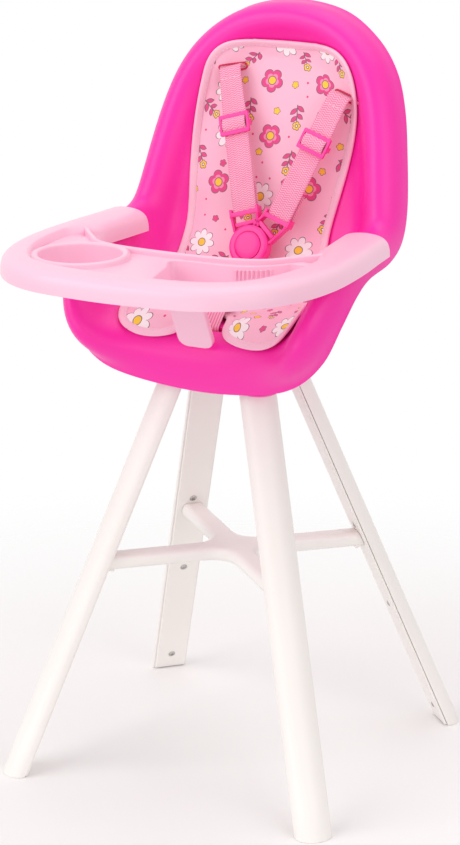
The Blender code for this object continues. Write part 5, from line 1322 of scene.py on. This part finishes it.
def pad_sheet(tree):
    """Points, map coordinates and faces of the whole underside."""
    half = pad_half(tree, PAD_RIGHT_SHARES, PAD_LOBE_RIGHT_SHARES)
    far_half = pad_half(tree, PAD_LEFT_SHARES, PAD_LOBE_LEFT_SHARES)
    rows, columns = half.shape[:2]
    u, v = laid_flat(half)
    far_u, far_v = laid_flat(far_half)
    points = [tuple(point) for point in half.reshape(-1, 3)]
    cloth = list(zip(u.ravel(), v.ravel()))
    index = np.arange(rows * columns).reshape(rows, columns)
    other = index.copy()
    for i in range(rows):
        for j in range(columns):
            if j or i >= PAD_JOINED_ROWS:
                other[i, j] = len(points)
                points.append(far_half[i, j] * FLIP)
                cloth.append((-far_u[i, j], far_v[i, j]))
    faces = []
    for i in range(rows - 1):
        for j in range(columns - 1):
            faces.append((index[i, j], index[i, j + 1], index[i + 1, j + 1], index[i + 1, j]))
            faces.append((other[i, j], other[i + 1, j], other[i + 1, j + 1], other[i, j + 1]))
    return np.array(points), np.array(cloth), faces


def edge_loop(faces):
    """The sheet's outline as one ordered loop of point numbers."""
    used = dict.fromkeys(pair for face in faces for pair in zip(face, face[1:] + face[:1]))
    following = {a: b for a, b in used if (b, a) not in used}
    start = next(iter(following))
    loop = [start]
    while following[loop[-1]] != start:
        loop.append(following[loop[-1]])
    return loop


def point_normals(points, faces, toward):
    total = np.zeros_like(points)
    for face in faces:
        a, b, c, d = (points[corner] for corner in face)
        normal = np.cross(c - a, d - b)
        for corner in face:
            total[corner] += normal
    total = unit(total)
    return total if np.dot(total.sum(axis=0), toward) > 0 else -total


def pad_profile(distance, u, v):
    """Thickness of the pad: thin under its binding, full inside, puckered by its stitches."""
    share = np.clip((distance - BINDING_WIDTH) / PAD_CROWN_REACH, 0, 1)
    thickness = PAD_EDGE_THICKNESS + (PAD_THICKNESS - PAD_EDGE_THICKNESS) * np.sin(share * math.pi / 2) ** 0.9
    result = []
    for near, thick, x, y in zip(distance, thickness, u, v):
        inside = max(near - BINDING_WIDTH, 0)
        pucker = noise.noise(Vector((x * PUCKER_SCALE, y * PUCKER_SCALE, PUCKER_SEED)))
        pucker *= math.exp(-((inside - PUCKER_INSET) / PUCKER_REACH) ** 2)
        crease = noise.noise(Vector((x * CREASE_SCALE_X, y * CREASE_SCALE_Y, CREASE_SEED)))
        crease *= min(inside / CREASE_INSET, 1)
        result.append(thick + (PAD_PUCKER * pucker + PAD_CREASE * crease) * min(inside / SEAM_INSET, 1))
    return np.array(result)


def rounded_sheet(points, loop):
    """Round the sheet's outline, carrying what lies near it along."""
    outline = points[loop]
    wanted, even = evenly(outline, OUTLINE_PITCH)
    even = smoothed_loop(even, OUTLINE_ROUNDS)
    places = along_path(closed(outline))
    shift = between(places[:-1], np.append(wanted, places[-1]), closed(even)) - outline
    result = points.copy()
    for index, point in enumerate(points):
        gap_shade = ((outline - point) ** 2).sum(axis=1)
        near = int(gap_shade.argmin())
        result[index] = point + shift[near] * math.exp(-gap_shade[near] / OUTLINE_REACH**2)
    return result


def seat_pad(tree):
    points, cloth, faces = pad_sheet(tree)
    loop = edge_loop(faces)
    points = rounded_sheet(points, loop)
    normals = point_normals(points, faces, (0, -1, 1))
    for index, point in enumerate(points):
        spot, normal, _, _ = tree.find_nearest(Vector(point))
        if normal.dot(Vector(normals[index])) < 0:
            normal = -normal
        if (Vector(point) - spot).dot(normal) < PAD_LIFT:
            points[index] = np.array(spot + normal * PAD_LIFT)
    outline = points[loop]
    distance = np.array([np.sqrt(((outline - point) ** 2).sum(axis=1).min()) for point in points])
    thickness = pad_profile(distance, *cloth.T)
    count = len(points)
    both = np.concatenate([points, points + normals * thickness[:, None]])
    lower = [tuple(reversed(face)) for face in faces]
    upper = [tuple(corner + count for corner in face) for face in faces]
    sides = [(a, b, b + count, a + count) for a, b in zip(loop, loop[1:] + loop[:1])]
    pad = cleaned(new_piece("pad_cloth", both, lower + upper + sides))
    set_cloth_map(pad, np.concatenate([cloth, cloth]))
    pad.data.shade_smooth()
    fitted(pad, "chair", PRINT, "seat_pad")
    under_tree = BVHTree.FromPolygons([Vector(point) for point in points], faces)
    top_tree = BVHTree.FromPolygons([Vector(point) for point in both], upper)
    return outline, normals[loop], under_tree, top_tree


def binding(outline, normals, tree):
    """Tape folded round the pad's edge, laid along the pad's underside."""
    places, centres, ups = evenly(outline, BINDING_PITCH, smoothed_loop(normals, 8))
    centres = smoothed_loop(centres, 2)
    ahead = smoothed_loop(np.roll(centres, -1, axis=0) - np.roll(centres, 1, axis=0), 3)
    ups = unit(ups)
    outs = unit(np.cross(ahead, ups))
    if np.sum((centres - centres.mean(axis=0)) * outs) < 0:
        outs = -outs

    def inward(distance):
        spots = [tree.find_nearest(Vector(spot))[0] for spot in centres - outs * distance]
        return smoothed_loop(np.array(spots), 1)

    # Distance in from the pad's edge, out from there, and height in halves of the pad's thickness
    half, wide = PAD_EDGE_THICKNESS / 2, BINDING_WIDTH
    section = [
        (wide, 0, 0.4), (wide * 0.5, 0, -0.3), (0, 0, -0.3), (0, 0.0006, 0), (0, 0.001, 0.7),
        (0, 0.0011, 1.25), (0, 0.0009, 1.85), (0, 0.0005, 2.35), (0, 0, 2.65), (wide * 0.2, 0, 2.78),
        (wide * 0.5, 0, 2.82), (wide * 0.7, 0, 2.72), (BINDING_STITCH_IN, 0, 2.5), (wide * 0.9, 0, 2.66),
        (wide * 0.98, 0, 2.45), (wide, 0, 1.6),
    ]
    lines = {distance: inward(distance) for distance, _, _ in section}
    rings, cloth = [], []
    for index, place in enumerate(places):
        swell = 1 + SWELL_SHARE * noise.noise(Vector((place * SWELL_SCALE, *SWELL_SEEDS)))
        ring = []
        for distance, out, rise in section:
            ring.append(lines[distance][index] + outs[index] * out + ups[index] * (half * rise) * swell)
            cloth.append((distance - out, place))
        rings.append(ring)
    tape = loft("pad_binding", rings, looped=True)
    set_cloth_map(tape, cloth)
    tape.data.shade_smooth()
    fitted(tape, "chair", TAPE)
    return lines[BINDING_STITCH_IN] + ups * half * 2.62, ups


def stitches(name, path, lifts, finish):
    """Short raised stitches along a line."""
    places = along_path(path)
    points, faces = [], []
    count = int(places[-1] / STITCH_PITCH)
    pitch = places[-1] / count
    ring_count = len(STITCH_SHARES)
    for index in range(count):
        wheres = [(index + 0.2) * pitch + share * STITCH_LENGTH for share, _ in STITCH_SHARES]
        spots = between(wheres, places, path)
        raised = unit(between(wheres, places, lifts))
        ahead = unit(spots[-1] - spots[0])
        first = len(points)
        for spot, lift, (_, thick) in zip(spots, raised, STITCH_SHARES):
            side = np.cross(ahead, lift)
            for x, y in circle(STITCH_RADIUS * thick, 6):
                points.append(spot + side * x + lift * (y + STITCH_RADIUS * (thick - 0.7)))
        for ring in range(ring_count - 1):
            for step in range(6):
                a, b = first + ring * 6 + step, first + ring * 6 + (step + 1) % 6
                faces.append((a, b, b + 6, a + 6))
        faces += [range(first, first + 6), range(first + (ring_count - 1) * 6, first + ring_count * 6)]
    piece = cleaned(new_piece(name, points, faces))
    piece.data.shade_smooth()
    fitted(piece, "chair", finish)


def slot_trims(top_tree):
    """Satin-stitched edges of the two slots that the straps pass through."""
    half_x, half_y = WEB_TOP_WIDTH / 2 + SLOT_TRIM_MARGIN, WEB_THICKNESS + SLOT_TRIM_MARGIN
    for name, (matrix, length) in STRAPS.items():
        place = matrix @ Matrix.Translation((0, length, 0))
        out = place.col[2].to_3d()
        up = np.array(out)
        ring = []
        for cos, sin in circle(1, 56):
            x = half_x * math.copysign(abs(cos) ** 0.25, cos)
            y = half_y * math.copysign(abs(sin) ** 0.55, sin)
            spot = top_tree.ray_cast(place @ Vector((x, y, OVERRUN * 2)), -out)[0]
            if spot is not None:
                ring.append(np.array(spot))
        _, centres = evenly(smoothed_loop(np.array(ring), 2), SLOT_TRIM_PITCH)
        ahead = unit(np.roll(centres, -1, axis=0) - np.roll(centres, 1, axis=0))
        rings = []
        for index, (centre, along) in enumerate(zip(centres, ahead)):
            side = np.cross(along, up)
            radius = SLOT_TRIM_RADIUS * (1.15 if index % 2 else 0.9)
            rings.append([centre + side * 1.3 * x + up * y for x, y in circle(radius, 8)])
        trim = loft(f"slot_trim_{name}", rings, looped=True)
        trim.data.shade_smooth()
        fitted(trim, "chair", SLOT_THREAD)


# Harness


def close_spaced(path):
    """The path with points at most a webbing step apart."""
    rows = [path[0]]
    for first, second in zip(path, path[1:]):
        count = max(math.ceil(np.linalg.norm(np.subtract(second, first)) / WEB_STEP), 1)
        rows += list(np.linspace(first, second, count + 1)[1:])
    return np.array(rows)


def ribbon(name, path, matrix=None, width_at=None, hemmed=True):
    """Webbing with rounded selvedges along a path of run and stand-off."""
    rows = close_spaced(path)
    normal = leftward(unit(np.gradient(rows, axis=0)))
    places = along_path(rows)
    shares = np.linspace(-1, 1, 11)
    rings, cloth = [], []
    for row, side, place in zip(rows, normal, places):
        half = (width_at(row) if width_at else WEB_WIDTH) / 2
        is_hem = hemmed and places[-1] - place < HEM_LENGTH
        thick = (HEM_THICKNESS if is_hem else WEB_THICKNESS) / 2
        flat = shares * (half - SELVEDGE)
        section = [(across, thick) for across in flat] + [(half, 0)]
        section += [(across, -thick) for across in reversed(flat)] + [(-half, 0)]
        rings.append([(across, *(row + side * rise)) for across, rise in section])
        cloth += [(across, place) for across, _ in section]
    strap = loft(name, rings, matrix)
    set_cloth_map(strap, cloth)
    return shaded(strap, 70)


def shoulder_straps():
    offset = PLY_RADIUS
    turn = offset * 2
    for name, (matrix, length) in STRAPS.items():
        path = [(STRAP_RETURN, -offset), (STRAP_RETURN / 2, -offset)]
        path += arc((offset, 0), offset, 270, 90, 14)
        path += arc((length - turn, offset - turn), turn, 90, 0, 10)
        path += [(length, offset - turn - STRAP_TAIL)]

        def width_at(row):
            share = min(max((row[0] / length - NARROWING_START) / NARROWING_LENGTH, 0), 1)
            return WEB_WIDTH + (WEB_TOP_WIDTH - WEB_WIDTH) * share * share * (3 - 2 * share)

        strap = ribbon(f"strap_web_{name}", path, matrix, width_at)
        fitted(strap, None, WEBBING, f"shoulder_strap_{name}")
        start, end = (CENTRE @ matrix @ Vector((0, run, 0)) for run in BLEND_RUNS)
        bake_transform(strap)
        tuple(start)
        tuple(end)
        seam = np.linspace(-SEAM_HALF_WIDTH, SEAM_HALF_WIDTH, 9)
        line = np.array([matrix @ Vector((across, length - SEAM_DROP, STRAP_FACE)) for across in seam])
        stitches(f"strap_seam_{name}", line, np.array([matrix.col[2].to_3d()] * len(line)), THREAD)
        adjuster(name, matrix)
        tongue(name, matrix)
        strap_stop(name, matrix, length)


def rounded_rectangle(width, height, radius):
    points = []
    for x, y, start in ((1, 1, 0), (-1, 1, 90), (-1, -1, 180), (1, -1, 270)):
        points += arc((x * (width / 2 - radius), y * (height / 2 - radius)), radius, start, start + 90, 4)
    return points


def adjuster(name, matrix):
    """Sliding frame whose window shows the webbing humped over its middle bar."""
    place = matrix @ Matrix.Translation((0, STRAP_LINES[name][2], 0))
    low = STRAP_FACE + GAP
    high = low + ADJUSTER_THICKNESS
    inner = (ADJUSTER_WIDTH - 2 * TONGUE_RAIL - 0.0004, ADJUSTER_LENGTH - 2 * ADJUSTER_BAR)
    outline = rounded_rectangle(ADJUSTER_WIDTH, ADJUSTER_LENGTH, FRAME_CORNER)
    window = rounded_rectangle(*inner, FRAME_CORNER / 2)
    piece = prism(f"adjuster_{name}", outline, low, high, place)
    combined(piece, "DIFFERENCE", prism(f"window_{name}", window, low - OVERRUN, high + OVERRUN, place))
    half, y = ADJUSTER_WIDTH / 2, ADJUSTER_RIM_HALF_LENGTH
    for left, right in ((-half, -half + ADJUSTER_RIM), (half - ADJUSTER_RIM, half)):
        rim = (left, -y, -ADJUSTER_RIM_BACK), (right, y, low + GAP)
        combined(piece, "UNION", box_solid(f"rim_{name}", *rim, place))
    x, (y, z) = half - GAP, ADJUSTER_BACK_HALF
    combined(piece, "UNION", box_solid(f"back_{name}", (-x, -y, -z), (x, y, z), place))
    settled(rounded_edges(piece, ADJUSTER_ROUND, 40, 3))
    fitted(shaded(piece, 60), f"adjuster_{name}", HARDWARE, f"strap_adjuster_{name}")
    reach = inner[1] / 2 - 0.0002
    foot = STRAP_FACE + WEB_THICKNESS / 2 + GAP / 3
    rise = high - low + 0.0002 + WEB_THICKNESS * 0.3
    hump = arc((0, 0), 1, 180, 0, 12)[1:-1]
    path = [(-reach, foot), *((reach * x, foot + rise * y**HUMP_SHARE) for x, y in hump), (reach, foot)]
    web = ribbon(f"adjuster_web_{name}", path, place, lambda row: ADJUSTER_WEB_WIDTH, hemmed=False)
    fitted(web, f"adjuster_{name}", WEBBING)


def toward_buckle(matrix):
    """In a strap's axes: the buckle's middle, and the directions toward it and aside."""
    centre = matrix.inverted() @ HARNESS.translation
    centre.z = 0
    toward = centre.normalized()
    return centre, toward, Vector((-toward.y, toward.x, 0))


def spoke(name, matrix, start, end, half, low, high):
    """A bar on the line to the buckle's middle, between two distances from the strap's foot."""
    _, toward, side = toward_buckle(matrix)
    corners = ((start, -half), (start, half), (end, half), (end, -half))
    return prism(name, [toward * run + side * across for run, across in corners], low, high, matrix)


def tongue(name, matrix):
    """Bar over the strap's end, side horns, rails that close in on the buckle, and a prong."""
    centre, toward, side = toward_buckle(matrix)
    half = TONGUE_WIDTH / 2
    low = STRAP_FACE + GAP
    high = low + TONGUE_BAR_THICKNESS
    piece = box_solid(f"tongue_{name}", (-half, TONGUE_BAR_Y[0], low), (half, TONGUE_BAR_Y[1], high), matrix)
    edge = WEB_WIDTH / 2 + GAP
    for hand, left, right in ((-1, -half, -edge), (1, edge, half)):
        horn = (left, TONGUE_HORN_Y[0], -STRAP_FACE), (right, TONGUE_HORN_Y[1], high + 0.0002)
        combined(piece, "UNION", box_solid(f"horn_{name}", *horn, matrix))
        # A rail from the bar's end to the buckle's rim
        start = Vector((hand * (half - TONGUE_RAIL / 2), -TONGUE_RAIL_START, 0))
        end = centre - toward * math.sqrt(TONGUE_RAIL_REACH**2 - TONGUE_RAIL_SPREAD**2)
        end += side * TONGUE_RAIL_SPREAD * (hand if side.x > 0 else -hand)
        run = (end - start).normalized()
        across = Vector((-run.y, run.x, 0)) * TONGUE_RAIL / 2
        start -= run * TONGUE_RAIL_LEAD
        ring = [start - across, start + across, end + across, end - across]
        combined(piece, "UNION", prism(f"rail_{name}", ring, -TONGUE_RAIL_BACK, high - GAP, matrix))
    # The shoulder that spans the rails just before the buckle, and the prong behind it
    rim = centre.length - BUCKLE_RADIUS - GAP
    deep, wide = TONGUE_SHOULDER
    heights = -TONGUE_SHOULDER_LOW, high - TONGUE_SHOULDER_DROP
    shoulder = spoke(f"shoulder_{name}", matrix, rim - deep, rim - GAP / 3, wide, *heights)
    thick = PRONG_THICKNESS / 2
    ends = rim - PRONG_ROOT, rim + PRONG_LENGTH
    prong = spoke(f"prong_{name}", matrix, *ends, PRONG_WIDTH / 2, -thick, thick)
    x, z = half - GAP, TONGUE_LOOP_HALF
    loop = box_solid(f"loop_{name}", (-x, PLY_RADIUS - z, -z), (x, PLY_RADIUS + z, z), matrix)
    combined(piece, "UNION", shoulder, prong, loop)
    settled(rounded_edges(piece, TONGUE_ROUND, 40))
    fitted(shaded(piece, 60), f"tongue_{name}", HARDWARE, f"strap_tongue_{name}")


def without_normals(mesh):
    """The mesh without the normals that it was packed with."""
    if "custom_normal" in mesh.attributes:
        mesh.attributes.remove(mesh.attributes["custom_normal"])
    return mesh


def node_copy(name, node, matrix):
    """A welded copy of a node's mesh, moved by a matrix."""
    piece = linked(name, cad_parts[node].data.copy())
    piece.data.transform(matrix)
    cleaned(piece, WELD_REACH, turn=False)
    without_normals(piece.data)
    return piece


def strap_stop(name, matrix, length):
    """Keeper plate behind the shell that the strap's tail passes through."""
    side = -1 if name == "left" else 1
    foot, top = ((z - BUCKLE_Z) / HARNESS.col[1].z for z in (STRAP_FOOT_Z, STRAP_TOP_Z))
    old, old_length = strap_frame((side * STRAP_FOOT_X, foot), (side * STRAP_TOP_X, top))
    move = matrix @ Matrix.Translation((0, length - old_length, 0)) @ old.inverted() @ CENTRE.inverted()
    node = f"strap_stop_{name}"
    piece = node_copy(f"stop_plate_{name}", node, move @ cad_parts[node].matrix_world)
    settled(rounded_edges(piece, 0.0003, 35))
    fitted(shaded(piece, 40), "chair", HARDWARE, node)


def buckle():
    """Round housing with a well for the button, a pocket for each prong and a slotted tab."""
    back, front = -BUCKLE_BACK, BUCKLE_THICKNESS - BUCKLE_BACK
    r, edge = BUCKLE_RADIUS, BUCKLE_ROUND
    profile = [(0, front), (r - edge * 1.7, front)]
    profile += arc((r - edge * 1.5, front - edge), (edge * 1.5, edge), 90, 0, 8)[1:]
    profile += arc((r - edge, back + edge), edge, 0, -90, 8) + [(0, back)]
    body = turned("buckle_housing", profile, BUCKLE_SIDES, HARNESS)
    slot_top = -BUCKLE_RADIUS - GAP
    tab_low = slot_top - TAB_SLOT - LOOP_BAR
    half, tab_half = TAB_WIDTH / 2, LOOP_BAR / 2
    right = [
        (half - tab_half, tab_low), (half, tab_low + tab_half),
        (half, slot_top + TAB_DEPTH * TAB_SHOULDER_SHARE), (half * TAB_TOP_SHARE, slot_top + TAB_DEPTH),
    ]
    outline = right + [(-x, y) for x, y in reversed(right)]
    combined(body, "UNION", prism("buckle_tab", outline, -tab_half, tab_half, HARNESS))
    half_slot = SLOT_LENGTH / 2 - TAB_SLOT_INSET
    slot = (-half_slot, slot_top - TAB_SLOT, -BUCKLE_THICKNESS), (half_slot, slot_top, BUCKLE_THICKNESS)
    combined(body, "DIFFERENCE", box_solid("buckle_slot", *slot, HARNESS))
    throat = BUTTON_RADIUS + GAP
    wide, brim = throat + BUTTON_FLANGE, throat + BUCKLE_WELL_FLARE
    well = [(0, BUCKLE_FLOOR), (wide, BUCKLE_FLOOR), (wide, front - BUTTON_LIP), (throat, front - BUTTON_LIP)]
    well += [(throat, front - BUCKLE_WELL_EDGE), (brim, front + GAP / 10), (brim, front + OVERRUN)]
    well += [(0, front + OVERRUN)]
    combined(body, "DIFFERENCE", turned("buckle_well", well, BUCKLE_SIDES, HARNESS))
    wide, thick = PRONG_WIDTH / 2 + PRONG_GAP, PRONG_THICKNESS / 2 + PRONG_GAP
    for name, (matrix, _) in STRAPS.items():
        rim = toward_buckle(matrix)[0].length - BUCKLE_RADIUS
        ends = rim - OVERRUN, rim + PRONG_LENGTH + PRONG_GAP
        combined(body, "DIFFERENCE", spoke(f"pocket_{name}", matrix, *ends, wide, -thick, thick))
    fitted(shaded(body, 35), "chair", HARDWARE, "buckle_body")


def crotch_strap():
    """Loop round the buckle's bar, down to the pad, forward and through the slot to its hem."""
    offset = LOOP_BAR / 2 + GAP * 2 + WEB_THICKNESS / 2
    rise, out = HARNESS.col[1].to_3d(), HARNESS.col[2].to_3d()
    centre = HARNESS @ Vector((0, -BUCKLE_RADIUS - GAP - TAB_SLOT - LOOP_BAR / 2, 0))
    loop = [(offset, -LOOP_BAR * 2.6), (offset, -LOOP_BAR), *arc((0, 0), offset, 0, 180, 16)]
    points = [centre + out * x + rise * y for x, y in loop]
    route = [centre - rise * LOOP_BAR * 1.2 - out * offset]
    route += [seat_place(forward, up) for forward, up in CROTCH_ROUTE_SHARES]
    turn = SLOT_HEIGHT / 2
    for run, stand in ((1.7, 1.15), (0.5, 0.85), (0, 0)):
        route.append(CROTCH_SLOT @ Vector((0, run * turn, stand * turn)))
    rows = np.array([tuple(point)[1:] for point in route])
    ahead = CROTCH_SLOT @ Vector((0, 0, -turn))
    path = [point[1:] for point in map(tuple, points)]
    path += list(refine(rows, 8, 2 * rows[0] - rows[1], np.array(ahead)[1:]))
    for depth in (WALL, WALL + STOP_THICKNESS + 3 * GAP + HEM_LENGTH * 0.96):
        path.append(tuple(CROTCH_SLOT @ Vector((0, 0, -depth)))[1:])
    fitted(ribbon("crotch_web", path), "chair", RIBBED_WEBBING, "crotch_strap")


# Nodes that keep their shape


def polish(node, finish, width, degrees=35):
    """Give a node a finish, soft edges and even shading."""
    material, slot = finish
    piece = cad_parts[node]
    mesh = without_normals(piece.data)
    mesh.shade_smooth()
    weld = piece.modifiers.new("weld", "WELD")
    weld.merge_threshold = WELD_REACH
    rounded_edges(piece, width, degrees)
    weigh = piece.modifiers.new("even_shading", "WEIGHTED_NORMAL")
    weigh.weight = 60
    weigh.keep_sharp = False
    if piece.material_slots:
        piece.material_slots[0].material = material
    else:
        mesh.materials.append(material)


def return_spring():
    """The spring under the button, copied from its node."""
    piece = node_copy("button_spring", "buckle_spring", CENTRE.inverted())
    piece.data.shade_smooth()
    fitted(piece, "chair", STEEL, "buckle_spring")
    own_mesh(piece)


def kept_nodes():
    polish("leg_hub", MAGENTA, 0.0006)
    polish("leg_brace", WHITE, 0.0004, 60)
    polish("crotch_post", PALE_PINK, 0.0006)
    for name, _, _ in LEG_SIDES:
        polish(f"leg_cover_{name}", WHITE, 0.0003)
    polish("buckle_button", HARDWARE, 0.0003)
    polish("crotch_strap_stop", HARDWARE, 0.0003)
    return_spring()


# Studio


def add_world():
    """Soft light all round, seen as plain white by the camera and in mirrors."""
    world = bpy.data.worlds.new("studio")
    bpy.context.scene.world = world
    wires = Wires(world)
    nodes = wires.tree.nodes
    ambient = wires.fill(nodes["Background"], Color=(1, 0.985, 0.975, 1), Strength=AMBIENT_STRENGTH)
    shown = wires.fill(wires.node("Background"), Color=(1, 1, 1, 1), Strength=1.0)
    rays = wires.node("LightPath").outputs
    seen = wires.calc("ADD", rays["Is Camera Ray"], rays["Is Glossy Ray"])
    seen = wires.calc("ADD", seen, rays["Is Transmission Ray"], clamp=True)
    choice = wires.node("MixShader", seen, ambient.outputs[0], shown.outputs[0])
    wires.fill(nodes["World Output"], Surface=choice.outputs[0])


def add_floor():
    """A pale floor that fades out into the white background away from the chair."""
    points = [(x * FLOOR_HALF_SIZE, y * FLOOR_HALF_SIZE, 0) for x, y in ((-1, -1), (1, -1), (1, 1), (-1, 1))]
    floor = new_piece("floor", points, [range(4)], Matrix.Translation((0, 0, -0.0001)))
    wires = material_wires("pale_floor")
    nodes = wires.tree.nodes
    surface = nodes["Principled BSDF"]
    wires.fill(surface, Base_Color=(0.97, 0.965, 0.962, 1), Roughness=0.9, Specular_IOR_Level=0.1)
    place = wires.node("TexCoord").outputs["Object"]
    length = wires.node("VectorMath", place, operation="LENGTH").outputs["Value"]
    fade = wires.node("MapRange", interpolation_type="SMOOTHSTEP")
    wires.fill(fade, From_Min=FLOOR_CLEAR, From_Max=FLOOR_FADED, Value=length)
    clear = wires.node("BsdfTransparent")
    choice = wires.node("MixShader", fade.outputs["Result"], surface.outputs[0], clear.outputs[0])
    wires.fill(nodes["Material Output"], Surface=choice.outputs[0])
    floor.data.materials.append(wires.owner)


def add_lights():
    for name, (place, target, size, power) in LIGHTS.items():
        lamp = bpy.data.lights.new(name, "AREA")
        lamp.shape = "RECTANGLE"
        lamp.size, lamp.size_y = size
        lamp.energy = power
        aim = (Vector(target) - Vector(place)).to_track_quat("-Z", "Y")
        linked(name, lamp, Matrix.LocRotScale(Vector(place), aim, None))


def add_camera():
    a, e = CAMERA_TURN, CAMERA_TILT
    back = Vector((math.sin(a) * math.cos(e), -math.cos(a) * math.cos(e), math.sin(e)))
    right = Vector((math.cos(a), math.sin(a), 0))
    up = back.cross(right)
    target = CENTRE @ Vector((0, 0, CAMERA_TARGET_Z)) + right * CAMERA_TARGET_X
    c, s = math.cos(CAMERA_ROLL), math.sin(CAMERA_ROLL)
    matrix = Matrix((right * c + up * s, up * c - right * s, back)).transposed().to_4x4()
    matrix.translation = target + back * CAMERA_DISTANCE
    lens = bpy.data.cameras.new("camera")
    lens.lens = CAMERA_LENS
    lens.clip_end = 40
    bpy.context.scene.camera = linked("camera", lens, matrix)


def build():
    add_camera()
    add_world()
    add_floor()
    add_lights()
    bpy.context.scene.view_settings.view_transform = "Standard"
    seat_shell()
    legs()
    screws()
    tray()
    outline, normals, under_tree, top_tree = seat_pad(shell_tree())
    line, ups = binding(outline, normals, under_tree)
    stitches("pad_stitches", closed(line), closed(ups), THREAD)
    slot_trims(top_tree)
    shoulder_straps()
    buckle()
    crotch_strap()
    kept_nodes()


build()
